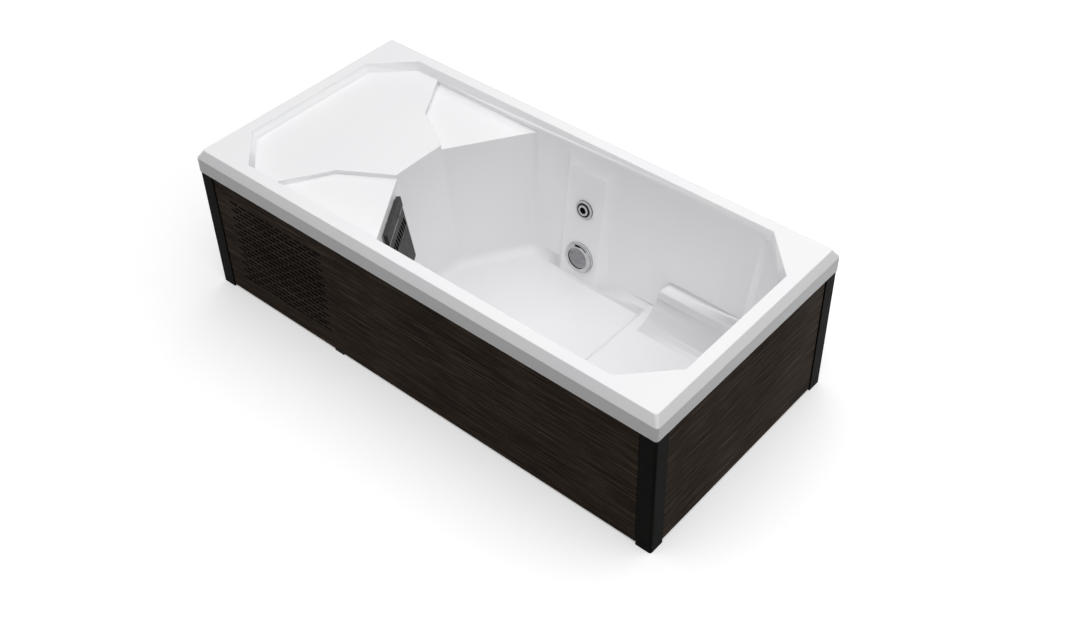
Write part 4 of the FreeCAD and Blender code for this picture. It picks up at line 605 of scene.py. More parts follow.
def block(low: Vector, high: Vector) -> Shape:
    """A plate between two corners."""
    return prism([(low.y, low.z), (high.y, low.z), (high.y, high.z), (low.y, high.z)], low.x, high.x)


def rod(radius: float, length: float, sides: int, place: Matrix) -> Shape:
    """A straight round bar, or a disc.

    Args:
        radius: Its radius in metres.
        length: Its length in metres.
        sides: How many sides it has.
        place: The frame in whose middle it lies, along Z.

    Returns:
        A closed solid.
    """
    shape = bmesh.new()
    bmesh.ops.create_cone(shape, cap_ends=True, segments=sides, radius1=radius, radius2=radius, depth=length,
                          matrix=place)
    return shape


def joined(shapes: Iterable[Shape]) -> Shape:
    """Put several shapes into one.

    Args:
        shapes: The shapes, which are used up.

    Returns:
        The shape that holds them all.
    """
    whole = bmesh.new()
    for shape in shapes:
        mesh = bpy.data.meshes.new("part_of_piece")
        shape.to_mesh(mesh)
        shape.free()
        whole.from_mesh(mesh)
        bpy.data.meshes.remove(mesh)
    return whole


def start_tree(name: str, inputs: dict[str, str]) -> tuple[Tree, bpy.types.NodeOutputs]:
    """Start a geometry tree with named inputs.

    Args:
        name: The tree's name.
        inputs: The kind of each input by its name.

    Returns:
        The tree and the outputs of its input node.
    """
    tree = bpy.data.node_groups.new(name, "GeometryNodeTree")
    tree.interface.new_socket("Geometry", in_out="INPUT", socket_type="NodeSocketGeometry")
    for label, kind in (inputs | {"Material": "Material"}).items():
        tree.interface.new_socket(label, in_out="INPUT", socket_type=f"NodeSocket{kind}")
    tree.interface.new_socket("Geometry", in_out="OUTPUT", socket_type="NodeSocketGeometry")
    return tree, add_node(tree, "NodeGroupInput").outputs


def end_tree(tree: Tree, made: Socket, material: Socket) -> Tree:
    """End a geometry tree: instances become real and get their material.

    Args:
        tree: The tree.
        made: What the tree has made.
        material: Its material.

    Returns:
        The tree.
    """
    real = add_node(tree, "GeometryNodeRealizeInstances", None, {"Geometry": made})
    dressed = add_node(tree, "GeometryNodeSetMaterial", None, {
        "Geometry": real.outputs["Geometry"], "Material": material})
    add_node(tree, "NodeGroupOutput", None, {"Geometry": dressed.outputs["Geometry"]})
    return tree


def slot_rows_tree() -> Tree:
    """Cut rows of round-ended slots from a plate, every second row shifted along and one slot shorter.

    Returns:
        The tree that does it.
    """
    tree, given = start_tree("slot_rows", {
        "Columns": "Int", "Rows": "Int", "Column Pitch": "Float", "Row Pitch": "Float", "Shift": "Float",
        "Slot Width": "Float", "Slot Height": "Float", "Slot Turn": "Float", "Corner": "Float",
        "Depth": "Float"})
    count = add_node(tree, "ShaderNodeMath", {"operation": "MULTIPLY"}, {
        0: given["Columns"], 1: given["Rows"]})
    points = add_node(tree, "GeometryNodePoints", None, {"Count": count.outputs[0]})
    index = add_node(tree, "GeometryNodeInputIndex").outputs[0]
    share = add_node(tree, "ShaderNodeMath", {"operation": "DIVIDE"}, {0: index, 1: given["Columns"]})
    row = add_node(tree, "ShaderNodeMath", {"operation": "FLOOR"}, {0: share.outputs[0]})
    column = add_node(tree, "ShaderNodeMath", {"operation": "MODULO"}, {0: index, 1: given["Columns"]})
    odd = add_node(tree, "ShaderNodeMath", {"operation": "MODULO"}, {0: row.outputs[0], 1: 2.0})
    along = add_node(tree, "ShaderNodeMath", {"operation": "MULTIPLY_ADD"}, {
        0: odd.outputs[0], 1: given["Shift"], 2: column.outputs[0]})
    x = add_node(tree, "ShaderNodeMath", {"operation": "MULTIPLY"}, {
        0: along.outputs[0], 1: given["Column Pitch"]})
    y = add_node(tree, "ShaderNodeMath", {"operation": "MULTIPLY"}, {
        0: row.outputs[0], 1: given["Row Pitch"]})
    spot = add_node(tree, "ShaderNodeCombineXYZ", None, {"X": x.outputs[0], "Y": y.outputs[0]})
    last = add_node(tree, "ShaderNodeMath", {"operation": "SUBTRACT"}, {0: given["Columns"], 1: 1.0})
    past = add_node(tree, "ShaderNodeMath", {"operation": "GREATER_THAN"}, {
        0: along.outputs[0], 1: last.outputs[0]})
    # The points are placed before those past the end go, because the index changes then
    placed = add_node(tree, "GeometryNodeSetPosition", None, {
        "Geometry": points.outputs[0], "Position": spot.outputs[0]})
    kept = add_node(tree, "GeometryNodeDeleteGeometry", None, {
        "Geometry": placed.outputs[0], "Selection": past.outputs[0]})
    outline = add_node(tree, "GeometryNodeCurvePrimitiveQuadrilateral", {"mode": "RECTANGLE"}, {
        "Width": given["Slot Width"], "Height": given["Slot Height"]})
    rounded = add_node(tree, "GeometryNodeFilletCurve", {"mode": "POLY"}, {
        "Curve": outline.outputs[0], "Radius": given["Corner"], "Count": ARC_STEPS})
    filled = add_node(tree, "GeometryNodeFillCurve", {"mode": "NGONS"}, {"Curve": rounded.outputs[0]})
    cutter = closed_extrusion(tree, filled.outputs[0], given["Depth"])
    turn = add_node(tree, "ShaderNodeCombineXYZ", None, {"Z": given["Slot Turn"]})
    cutters = add_node(tree, "GeometryNodeInstanceOnPoints", None, {
        "Points": kept.outputs[0], "Instance": cutter, "Rotation": turn.outputs[0]})
    cut = add_node(tree, "GeometryNodeMeshBoolean", {"operation": "DIFFERENCE", "solver": "MANIFOLD"}, {
        "Mesh 1": given["Geometry"], "Mesh 2": [cutters.outputs[0]]})
    return end_tree(tree, cut.outputs[0], given["Material"])


def closed_extrusion(tree: Tree, face: Socket, depth: Socket) -> Socket:
    """Raise a flat face into a closed solid that lies half above and half below it.

    Args:
        tree: The geometry tree.
        face: The flat face.
        depth: The height of the solid.

    Returns:
        The solid.
    """
    raised = add_node(tree, "GeometryNodeExtrudeMesh", {"mode": "FACES"}, {
        "Mesh": face, "Offset": (0.0, 0.0, 1.0), "Offset Scale": depth, "Individual": False})
    foot = add_node(tree, "GeometryNodeFlipFaces", None, {"Mesh": face})
    both = add_node(tree, "GeometryNodeJoinGeometry", None, {
        "Geometry": [raised.outputs["Mesh"], foot.outputs[0]]})
    sealed = add_node(tree, "GeometryNodeMergeByDistance", None, {
        "Geometry": both.outputs[0], "Distance": WELD})
    half = add_node(tree, "ShaderNodeMath", {"operation": "MULTIPLY"}, {0: depth, 1: -0.5})
    down = add_node(tree, "ShaderNodeCombineXYZ", None, {"Z": half.outputs[0]})
    centred = add_node(tree, "GeometryNodeTransform", None, {
        "Geometry": sealed.outputs[0], "Translation": down.outputs[0]})
    return centred.outputs[0]


def hole_rings_tree() -> Tree:
    """Drill rings of holes through a disc, each ring with as many more holes as the first has.

    Returns:
        The tree that does it.
    """
    tree, given = start_tree("hole_rings", {
        "Rings": "Int", "First Ring": "Int", "Ring Step": "Float", "Hole Radius": "Float", "Depth": "Float"})
    begin = add_node(tree, "GeometryNodeRepeatInput")
    end = add_node(tree, "GeometryNodeRepeatOutput")
    begin.pair_with_output(end)
    tree.links.new(given["Rings"], begin.inputs["Iterations"])
    number = add_node(tree, "ShaderNodeMath", {"operation": "ADD"}, {0: begin.outputs["Iteration"], 1: 1.0})
    holes = add_node(tree, "ShaderNodeMath", {"operation": "MULTIPLY"}, {
        0: number.outputs[0], 1: given["First Ring"]})
    radius = add_node(tree, "ShaderNodeMath", {"operation": "MULTIPLY"}, {
        0: number.outputs[0], 1: given["Ring Step"]})
    ring = add_node(tree, "GeometryNodeMeshCircle", None, {
        "Vertices": holes.outputs[0], "Radius": radius.outputs[0]})
    grown = add_node(tree, "GeometryNodeJoinGeometry", None, {
        "Geometry": [begin.outputs["Geometry"], ring.outputs[0]]})
    tree.links.new(grown.outputs[0], end.inputs["Geometry"])
    drill = add_node(tree, "GeometryNodeMeshCylinder", None, {
        "Vertices": THIN_SIDES, "Radius": given["Hole Radius"], "Depth": given["Depth"]})
    drills = add_node(tree, "GeometryNodeInstanceOnPoints", None, {
        "Points": end.outputs["Geometry"], "Instance": drill.outputs["Mesh"]})
    cut = add_node(tree, "GeometryNodeMeshBoolean", {"operation": "DIFFERENCE", "solver": "MANIFOLD"}, {
        "Mesh 1": given["Geometry"], "Mesh 2": [drills.outputs[0]]})
    return end_tree(tree, cut.outputs[0], given["Material"])


def stack_tree() -> Tree:
    """Copy a shape in a straight row.

    Returns:
        The tree that does it.
    """
    tree, given = start_tree("row_of_copies", {"Count": "Int", "Offset": "Vector"})
    line = add_node(tree, "GeometryNodeMeshLine", {"mode": "OFFSET"}, {
        "Count": given["Count"], "Offset": given["Offset"]})
    copies = add_node(tree, "GeometryNodeInstanceOnPoints", None, {
        "Points": line.outputs[0], "Instance": given["Geometry"]})
    return end_tree(tree, copies.outputs[0], given["Material"])


def wheel_tree() -> Tree:
    """Copy a shape round the Z axis.

    Returns:
        The tree that does it.
    """
    tree, given = start_tree("wheel_of_copies", {"Count": "Int"})
    points = add_node(tree, "GeometryNodePoints", None, {"Count": given["Count"]})
    index = add_node(tree, "GeometryNodeInputIndex").outputs[0]
    step = add_node(tree, "ShaderNodeMath", {"operation": "DIVIDE"}, {0: 2 * math.pi, 1: given["Count"]})
    angle = add_node(tree, "ShaderNodeMath", {"operation": "MULTIPLY"}, {0: index, 1: step.outputs[0]})
    turn = add_node(tree, "ShaderNodeCombineXYZ", None, {"Z": angle.outputs[0]})
    copies = add_node(tree, "GeometryNodeInstanceOnPoints", None, {
        "Points": points.outputs[0], "Instance": given["Geometry"], "Rotation": turn.outputs[0]})
    return end_tree(tree, copies.outputs[0], given["Material"])


class Pattern(Enum):
    """The ways in which a shape repeats on this tub."""

    SLOT_ROWS = "slot_rows"
    HOLE_RINGS = "hole_rings"
    STACK = "stack"
    WHEEL = "wheel"


class Repeater:
    """Runs the geometry trees, each built once."""

    def __init__(self) -> None:
        """Build every tree."""
        self.trees = {Pattern.SLOT_ROWS: slot_rows_tree(), Pattern.HOLE_RINGS: hole_rings_tree(),
                      Pattern.STACK: stack_tree(), Pattern.WHEEL: wheel_tree()}

    def run(self, kind: Pattern, shape: Shape, node: str, values: dict, place: Place) -> Shape:
        """Repeat a shape, or cut a repeated one from it.

        Args:
            kind: The way in which it repeats.
            shape: The shape in the place's frame, which is used up.
            node: The solid whose finish the result gets.
            values: The tree's inputs by name.
            place: The frame that the result is set in.

        Returns:
            The result in the tub's frame.
        """
        piece = new_piece(f"{node}_{kind.value}", shape)
        tree = self.trees[kind]
        modifier = piece.modifiers.new(kind.value, "NODES")
        modifier.node_group = tree
        values = values | {"Material": slot_of(node).value.material()}
        for item in tree.interface.items_tree:
            if item.in_out == "INPUT" and item.name in values:
                modifier[item.identifier] = values[item.name]
        settle(piece)
        made = welded(piece.data)
        bpy.data.objects.remove(piece)
        made.transform(place.matrix())
        # The finish stands first in the list of the piece that is made of this
        paint(made, 0, lambda face: True)
        return made


REPEATER = Repeater()


def hand_over(piece: Piece, *nodes: str) -> None:
    """Dress a piece that has no finish yet, and let it stand for solids of the frame.

    Args:
        piece: The finished piece.
        nodes: The solids that it stands for, whose body and finish it takes.
    """
    if not piece.data.materials:
        piece.data.materials.append(slot_of(nodes[0]).value.material())
    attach(piece, BODY_OF[nodes[0]])
    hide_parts(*nodes)
    LOG.info("%s: %d faces, on %s", piece.name, len(piece.data.polygons), BODY_OF[nodes[0]])


def paint(shape: Shape, number: int, wanted: Callable[[bmesh.types.BMFace], bool]) -> None:
    """Give some faces of a shape another finish.

    Args:
        shape: The shape.
        number: Where the finish stands in the list of the piece's finishes.
        wanted: Tells whether a face gets it.
    """
    shape.normal_update()
    for face in shape.faces:
        if wanted(face):
            face.material_index = number


def dress(piece: Piece, *finishes: Finish) -> Piece:
    """Give a piece its finishes.

    Args:
        piece: The piece.
        finishes: The finishes, in the order of their numbers on the faces.

    Returns:
        The piece.
    """
    for finish in finishes:
        piece.data.materials.append(finish.material())
    return piece


class SubAssembly:
    """Pieces that are built and dressed together."""

    def copy_softly(self, nodes: Iterable[str], edge: float) -> None:
        """Dress solids whose shape is right, with their edges rounded by a width in millimetres."""
        for node in nodes:
            hand_over(softened(node, edge), node)

    def build(self) -> None:
        """Build and dress all the pieces."""
        raise NotImplementedError


@dataclass
class MouldedShell(SubAssembly):
    """The white shell in one piece."""

    node: str = "acrylic_shell"
    edge: float = 0.0

    def build(self) -> None:
        """Dress the shell, whose edges are round in the solid already."""
        self.copy_softly([self.node], self.edge)


@dataclass
class Skirt(SubAssembly):
    """The dark panels round the tub, their corner posts and the feet.

    Sizes are in millimetres, and the shift of every second row is a share of the slots' pitch.
    """

    board_edge: float = 1.5
    post_edge: float = 1.2
    foot_edge: float = 1.5
    vent_rows: int = 21
    vent_slots: int = 10
    slot_long: float = 40.0
    slot_high: float = 8.0
    slot_pitch: float = 46.9
    row_pitch: float = 17.3
    row_shift: float = 0.5
    vent_from_end: float = 160.0
    vent_from_floor: float = 92.0
    slot_edge: float = 0.6

    def build(self) -> None:
        """Build the vented panel and dress the others."""
        self.front_panel()
        self.copy_softly(["back_panel", "deck_end_panel", "seat_end_panel"], self.board_edge)
        self.copy_softly([f"corner_post_{a}_{b}" for a in ("front", "back") for b in ("deck", "seat")],
                         self.post_edge)
        self.copy_softly(["foot_pads", "base_sheet", "panel_clips"], self.foot_edge)

    def front_panel(self) -> None:
        """Cut the rows of air slots from the front board."""
        low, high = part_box("front_panel")
        first = Vector((CAD_BOX[0].x + self.vent_from_end * MM, (low.y + high.y) / 2,
                        self.vent_from_floor * MM))
        place = Place(first, Vector((0, -1, 0)), LEVEL)
        near, far = place.extent("front_panel")
        values = {
            "Columns": self.vent_slots, "Rows": self.vent_rows, "Shift": self.row_shift,
            "Column Pitch": self.slot_pitch * MM, "Row Pitch": self.row_pitch * MM,
            "Slot Width": self.slot_long * MM, "Slot Height": self.slot_high * MM,
            "Corner": self.slot_high / 2 * MM - WELD, "Depth": 2 * (far.z - near.z)}
        board = REPEATER.run(Pattern.SLOT_ROWS, block(near, far), "front_panel", values, place)

        def in_slot(face: bmesh.types.BMFace) -> bool:
            """Whether a face is a slot's wall and not an edge of the board."""
            spot = face.calc_center_median()
            return abs(face.normal.y) < WALL and all(low[i] + WELD < spot[i] < high[i] - WELD for i in (0, 2))

        # Painted shade: the walls of the vent slots are black
        paint(board, 1, in_slot)
        round_edges(board, self.slot_edge * MM)
        piece = dress(new_piece("front_panel", board), Slot.SKIRT_BOARD.value, BLACK_AND_PAINTED_SHADE)
        hand_over(smooth(piece), "front_panel")


@dataclass
class Skimmer(SubAssembly):
    """The filter behind the bulkhead's wing and its grille.

    Sizes are in millimetres and the slots' turn in degrees. The slope is the least and the most that the face
    below the ridge, which gets a painted highlight, points out of the plate.
    """

    border: float = 8.0
    ridge_drop: float = 38.0
    ridge_wide: float = 10.0
    slope: Span = (0.2, 0.98)
    field_deep: float = 3.0
    slots: int = 10
    slot_wide: float = 12.0
    slot_high: float = 42.0
    slot_pitch: float = 19.0
    slot_drop: float = 74.0
    slot_turn: float = 19.0
    notch_wide: float = 13.0
    notch_at: float = 43.0
    grille_edge: float = 0.8
    small_edge: float = 0.5
    box_edge: float = 1.0
    pleats: int = 36
    pleat_deep: float = 9.0
    cap: float = 10.0
    cap_edge: float = 1.0
    bore: float = 46.0

    def build(self) -> None:
        """Build the grille and the cartridge and dress the box."""
        out = Vector(JOINTS["filter_pull"]["axis"])
        along = Vector((-out.y, out.x, 0)).normalized()
        self.grille(Place.around("skimmer_grille", out, along))
        self.cartridge(Place.around("filter_cartridge", out, along))
        self.copy_softly(["skimmer_box"], self.box_edge)
        self.copy_softly(["skimmer_gasket"], self.small_edge)

    def grille(self, place: Place) -> None:
        """A plate whose thick top ends in a ridge with a painted highlight and a notch in it, above a comb of
        slanting slots.

        Args:
            place: The grille's frame, with its Y up.
        """
        low, high = place.extent("skimmer_grille")
        ridge, field = high.y - self.ridge_drop * MM, high.z - self.field_deep * MM
        foot = ridge - self.ridge_wide * MM
        plate = prism([(high.y, low.z), (high.y, high.z), (ridge, high.z), (foot, field), (low.y, field),
                       (low.y, low.z)], low.x, high.x)
        notch = {"Columns": 1, "Rows": 1, "Depth": 2 * self.field_deep * MM,
                 "Slot Width": self.notch_wide * MM, "Slot Height": 2 * self.ridge_wide * MM,
                 "Corner": self.small_edge * MM}
        plate = self.cut(plate, Vector((self.notch_at * MM, (ridge + foot) / 2, high.z)), notch)
        first = Vector((-self.slot_pitch * (self.slots - 1) / 2 * MM,
                        high.y - (self.slot_drop + self.slot_high / 2) * MM, 0))
        comb = {"Columns": self.slots, "Rows": 1, "Column Pitch": self.slot_pitch * MM,
                "Depth": 2 * (high.z - low.z), "Slot Width": self.slot_wide * MM,
                "Slot Height": self.slot_high * MM, "Slot Turn": math.radians(self.slot_turn),
                "Corner": self.slot_wide / 2 * MM - WELD}
        plate = self.cut(plate, first, comb)
        inner = high - Vector((self.border, self.border, 0)) * MM

        def in_slot(face: bmesh.types.BMFace) -> bool:
            """Whether a face is a slot's wall and not an edge of the plate."""
            spot = face.calc_center_median()
            return abs(face.normal.z) < WALL and abs(spot.x) < inner.x and abs(spot.y) < inner.y

        # Painted highlight: the sloping face below the ridge gets the paler colour
        paint(plate, 1, lambda face: self.slope[0] < face.normal.z < self.slope[1])
        # Painted shade: the walls of the slots and the notch are black
        paint(plate, 2, in_slot)
        round_edges(plate, self.grille_edge * MM)
        plate.transform(place.matrix())
        piece = new_piece("skimmer_grille", plate)
        dress(piece, Slot.GRILLE_CHARCOAL.value, PAINTED_HIGHLIGHT_CHARCOAL, BLACK_AND_PAINTED_SHADE)
        hand_over(smooth(piece), "skimmer_grille")

    @staticmethod
    def cut(plate: Shape, first: Vector, values: dict) -> Shape:
        """Cut rows of slots from the grille.

        Args:
            plate: The plate in its own frame, which is used up.
            first: The middle of the first slot.
            values: The inputs of the tree.

        Returns:
            The cut plate in its own frame.
        """
        place = Place(first, UP, LEVEL)
        plate.transform(place.matrix().inverted())
        return REPEATER.run(Pattern.SLOT_ROWS, plate, "skimmer_grille", values, place)

    def cartridge(self, place: Place) -> None:
        """A ring of fleece pleats between two turned caps.

        Args:
            place: The cartridge's frame, whose Z is its axis.
        """
        low, high = place.extent("filter_cartridge")
        radius, bore, cap = high.x, self.bore / 2 * MM, self.cap * MM
        root = radius - self.pleat_deep * MM
        half = math.pi / self.pleats
        outline = [(bore, -half), (root, -half), (radius, 0.0), (root, half), (bore, half)]
        pleat = lofted([Vector((r * math.cos(a), r * math.sin(a), z)) for r, a in outline]
                       for z in (low.z + cap, high.z - cap))
        shapes = [REPEATER.run(Pattern.WHEEL, pleat, "filter_cartridge", {"Count": self.pleats}, place)]
        for start, end in ((low.z, low.z + cap), (high.z - cap, high.z)):
            corners = [(bore, start), (radius, start), (radius, end), (bore, end)]
            shapes.append(turned(rounded_outline((r, z, self.cap_edge * MM) for r, z in corners), place))
        hand_over(smooth(new_piece("filter_cartridge", joined(shapes))), "filter_cartridge")


@dataclass
class WallFittings(SubAssembly):
    """The jet and the suction fitting on the back wall's pad.

    Sizes are in millimetres. The latch and its gap, black as painted shade, are two radii and two angles each.
    The skins say how near an edge of the outline a face's middle lies that gets the black of painted shade.
    """

    jet_socket: float = 54.6
    jet_throat: float = 44.0
    jet_barrel: float = 62.0
    jet_bore: float = 57.0
    jet_orifice: float = 25.0
    ball: float = 44.0
    ball_gap: float = 0.3
    ledge: float = 5.0
    suction_throat: float = 54.0
    suction_barrel: float = 60.0
    cover_outer: float = 112.0
    cover_gap: float = 2.5
    legs: int = 6
    leg: float = 6.0
    screen_rings: int = 4
    screen_first_ring: int = 6
    screen_hole: float = 4.0
    screen_step: float = 7.6
    screen_edge: float = 1.3
    latch: Band = (47.5, 56.3, 82.0, 108.0)
    latch_gap: Band = (52.4, 56.3, 50.0, 82.0)
    latch_proud: float = 0.2
    latch_deep: float = 1.0
    leg_overlap: float = 0.5
    jet_shadow: float = 2.2
    jet_skin: float = 0.5
    cover_skin: float = 0.3
    gasket_gap: float = 0.4
    flange_round: float = 2.6
    ring_round: float = 1.5
    lip_round: float = 0.8
    end_round: float = 0.6
    inner_round: float = 0.5
    foot_round: float = 0.4
    step_round: float = 0.3
    small_edge: float = 0.3
    body_edge: float = 1.0

    def build(self) -> None:
        """Build the parts that show on the wall and dress those behind it."""
        out = Vector(JOINTS["jet_collar_turn"]["axis"])
        self.jet(Place.around("jet_gasket", out, LEVEL, foot=True))
        self.suction(Place.around("suction_gasket", out, LEVEL, foot=True))
        self.copy_softly(["jet_body", "suction_body", "jet_nut", "suction_nut"], self.body_edge)

    def ring(self, node: str, corners: Iterable[Corner], place: Place,
             dark: Callable[[float, float], bool] | None = None) -> None:
        """Turn one ring and hand it over.

        Args:
            node: The solid that it stands for.
            corners: Its outline, in millimetres.
            place: The frame whose Z is its axis.
            dark: Tells from a face's radius and height whether it gets the black finish, which is painted shade in
                gaps and holes.
        """
        shape = self.shape(corners, place, dark)
        piece = dress(new_piece(node, shape), slot_of(node).value, BLACK_AND_PAINTED_SHADE)
        hand_over(smooth(piece), node)

    @staticmethod
    def shape(corners: Iterable[Corner], place: Place,
              dark: Callable[[float, float], bool] | None) -> Shape:
        """Turn the shape of a ring.

        Args:
            corners: Its outline, in millimetres.
            place: The frame whose Z is its axis.
            dark: Tells from a face's radius and height whether it gets the second finish, the black of painted
                shade.

        Returns:
            The ring.
        """
        made = turned(rounded_outline([(r * MM, z * MM, edge * MM) for r, z, edge in corners]), place)
        back = place.matrix().inverted()
        if dark:
            for face in made.faces:
                middle = back @ face.calc_center_median() / MM
                face.material_index = int(dark(middle.xy.length, middle.z))
        return made

    def sealing_ring(self, node: str, hole: float, place: Place) -> None:
        """A flat rubber ring with round edges.

        Args:
            node: The solid that it stands for.
            hole: The width of its hole in millimetres.
            place: The frame whose Z is its axis.
        """
        outer, _, top = place.extent(node)[1] / MM
        corners = [(hole / 2, 0), (outer, 0), (outer, top), (hole / 2, top)]
        self.ring(node, [(r, z, self.end_round) for r, z in corners], place)

    def jet(self, place: Place) -> None:
        """The jet's flange, its turning collar and its eyeball.

        Args:
            place: The jet's frame, whose Z is its axis.
        """
        self.sealing_ring("jet_gasket", self.jet_barrel + self.gasket_gap, place)
        low, high = place.extent("jet_fitting")
        end, top, outer = low.z / MM, high.z / MM, high.x / MM
        foot = place.extent("jet_gasket")[1].z / MM
        collar_low, collar_high = [corner.z / MM for corner in place.extent("jet_collar")]
        step = collar_low - self.ball_gap
        socket, throat, bore = self.jet_socket / 2, self.jet_throat / 2, self.jet_bore / 2
        barrel = self.jet_barrel / 2
        # Painted shade: the flange's outer side next to the wall is black, the shadow in the gap between flange
        # and wall
        self.ring("jet_fitting", [
            (outer, foot, self.foot_round), (outer, top, self.flange_round), (socket, top, self.lip_round),
            (socket, step, self.step_round), (throat, step, self.inner_round),
            (throat, step - self.ledge, self.inner_round), (bore, step - self.ledge, self.step_round),
            (bore, end, self.foot_round), (barrel, end, self.end_round), (barrel, foot, 0.0)], place,
            lambda r, z: r > outer - self.jet_skin and z < foot + self.jet_shadow)
        middle = (collar_low + collar_high) / 2
        seat = self.arc(self.ball / 2 + self.ball_gap, middle, collar_high, collar_low)
        edge = place.extent("jet_collar")[1].x / MM
        rim = [(edge, collar_low, self.inner_round), (edge, collar_high, self.ring_round)]
        self.ring("jet_collar", rim + seat, place)
        low, high = [corner.z / MM for corner in place.extent("jet_nozzle")]
        hole = self.jet_orifice / 2
        face = self.arc(self.ball / 2, middle, low, high)
        mouth = [(hole, high, self.end_round), (hole, low, self.inner_round)]
        # The nozzle's bore is black: a black nozzle, and painted shade deep in the hole
        self.ring("jet_nozzle", face + mouth, place, lambda r, z: r < hole + self.jet_skin)

    @staticmethod
    def arc(radius: float, middle: float, start: float, end: float) -> list[Corner]:
        """Points on a ball's outline between two heights."""
        heights = [start + (end - start) * step / (2 * ARC_STEPS) for step in range(2 * ARC_STEPS + 1)]
        return [(math.sqrt(radius ** 2 - (z - middle) ** 2), z, 0.0) for z in heights]

    def suction(self, place: Place) -> None:
        """The suction fitting's flange, its raised cover and the screen in it.

        Args:
            place: The fitting's frame, whose Z is its axis.
        """
        self.sealing_ring("suction_gasket", self.suction_barrel + self.gasket_gap, place)
        low, high = place.extent("suction_fitting")
        foot = place.extent("suction_gasket")[1].z / MM
        end, top, outer = low.z / MM, high.z / MM, high.x / MM
        throat, barrel = self.suction_throat / 2, self.suction_barrel / 2
        self.ring("suction_fitting", [
            (outer, foot, self.foot_round), (outer, top, self.flange_round), (throat, top, self.lip_round),
            (throat, end, self.foot_round), (barrel, end, self.end_round), (barrel, foot, 0.0)], place)
        self.cover(place)
        self.screen(place)
        self.copy_softly(["suction_screws"], self.small_edge)

    def cover(self, place: Place) -> None:
        """The raised ring on its legs, its inner wall above the screen and its latch and gap painted black as
        shade.

        Args:
            place: The fitting's frame, whose Z is its axis.
        """
        low, high = place.extent("suction_cover")
        start, top, outer = low.z / MM + self.cover_gap, high.z / MM, self.cover_outer / 2
        seat = place.extent("suction_screen")[1].x / MM
        corners = [(outer, start, self.lip_round), (outer, top, self.ring_round),
                   (seat, top, self.foot_round), (seat, start, self.step_round)]
        skin = self.cover_skin
        # Painted shade: the ring's inner wall above the screen is black
        ring = self.shape(corners, place, lambda r, z: r < seat + skin and z < top - skin)
        tall = (start - low.z / MM + self.leg_overlap) * MM
        across = (outer + seat) / 2 * MM
        spot = Matrix.Translation((across, 0, low.z + tall / 2))
        leg = rod(self.leg / 2 * MM, tall, THIN_SIDES, spot)
        legs = REPEATER.run(Pattern.WHEEL, leg, "suction_cover", {"Count": self.legs}, place)
        shapes = [ring, legs]
        # Painted shade: the latch and its gap are black bands, a little proud of the ring
        for band in (self.latch, self.latch_gap):
            painted_shade_band = arc_band(band, (top - self.latch_deep, top + self.latch_proud), place)
            paint(painted_shade_band, 1, lambda face: True)
            shapes.append(painted_shade_band)
        piece = dress(new_piece("suction_cover", joined(shapes)), Slot.FITTING_PALE.value, BLACK_AND_PAINTED_SHADE)
        hand_over(smooth(piece), "suction_cover")

    def screen(self, place: Place) -> None:
        """The grey disc with rings of holes, held from below against the raised ring.

        Args:
            place: The fitting's frame, whose Z is its axis.
        """
        low, high = place.extent("suction_screen")
        thick, top = high.z - low.z, place.extent("suction_cover")[0].z + self.cover_gap * MM
        radius = high.x + self.screen_edge * MM
        spot = Place(place.matrix() @ Vector((0, 0, top - thick / 2)), place.out, place.along)
        disc = rod(radius, thick, TURN_STEPS, Matrix())
        values = {"Rings": self.screen_rings, "First Ring": self.screen_first_ring,
                  "Ring Step": self.screen_step * MM, "Hole Radius": self.screen_hole / 2 * MM,
                  "Depth": 2 * thick}
        disc = REPEATER.run(Pattern.HOLE_RINGS, disc, "suction_screen", values, spot)
        # Painted shade: the walls of the holes are black
        paint(disc, 1, lambda face: abs(face.normal.dot(place.out)) < WALL)
        round_edges(disc, self.small_edge * MM)
        piece = dress(new_piece("suction_screen", disc), Slot.SCREEN_GREY.value, BLACK_AND_PAINTED_SHADE)
        hand_over(smooth(piece), "suction_screen")


@dataclass
class Frame(SubAssembly):
    """The tube frame and the plate that carries the machines. Sizes are in millimetres."""

    tube_edge: float = 2.5
    plate_edge: float = 0.8

    def build(self) -> None:
        """Dress the tubes, the plate and its bolts."""
        self.copy_softly(["base_rails", "cross_members", "corner_legs", "mid_legs", "top_rails"],
                         self.tube_edge)
        self.copy_softly(["equipment_plate", "plate_bolts"], self.plate_edge)


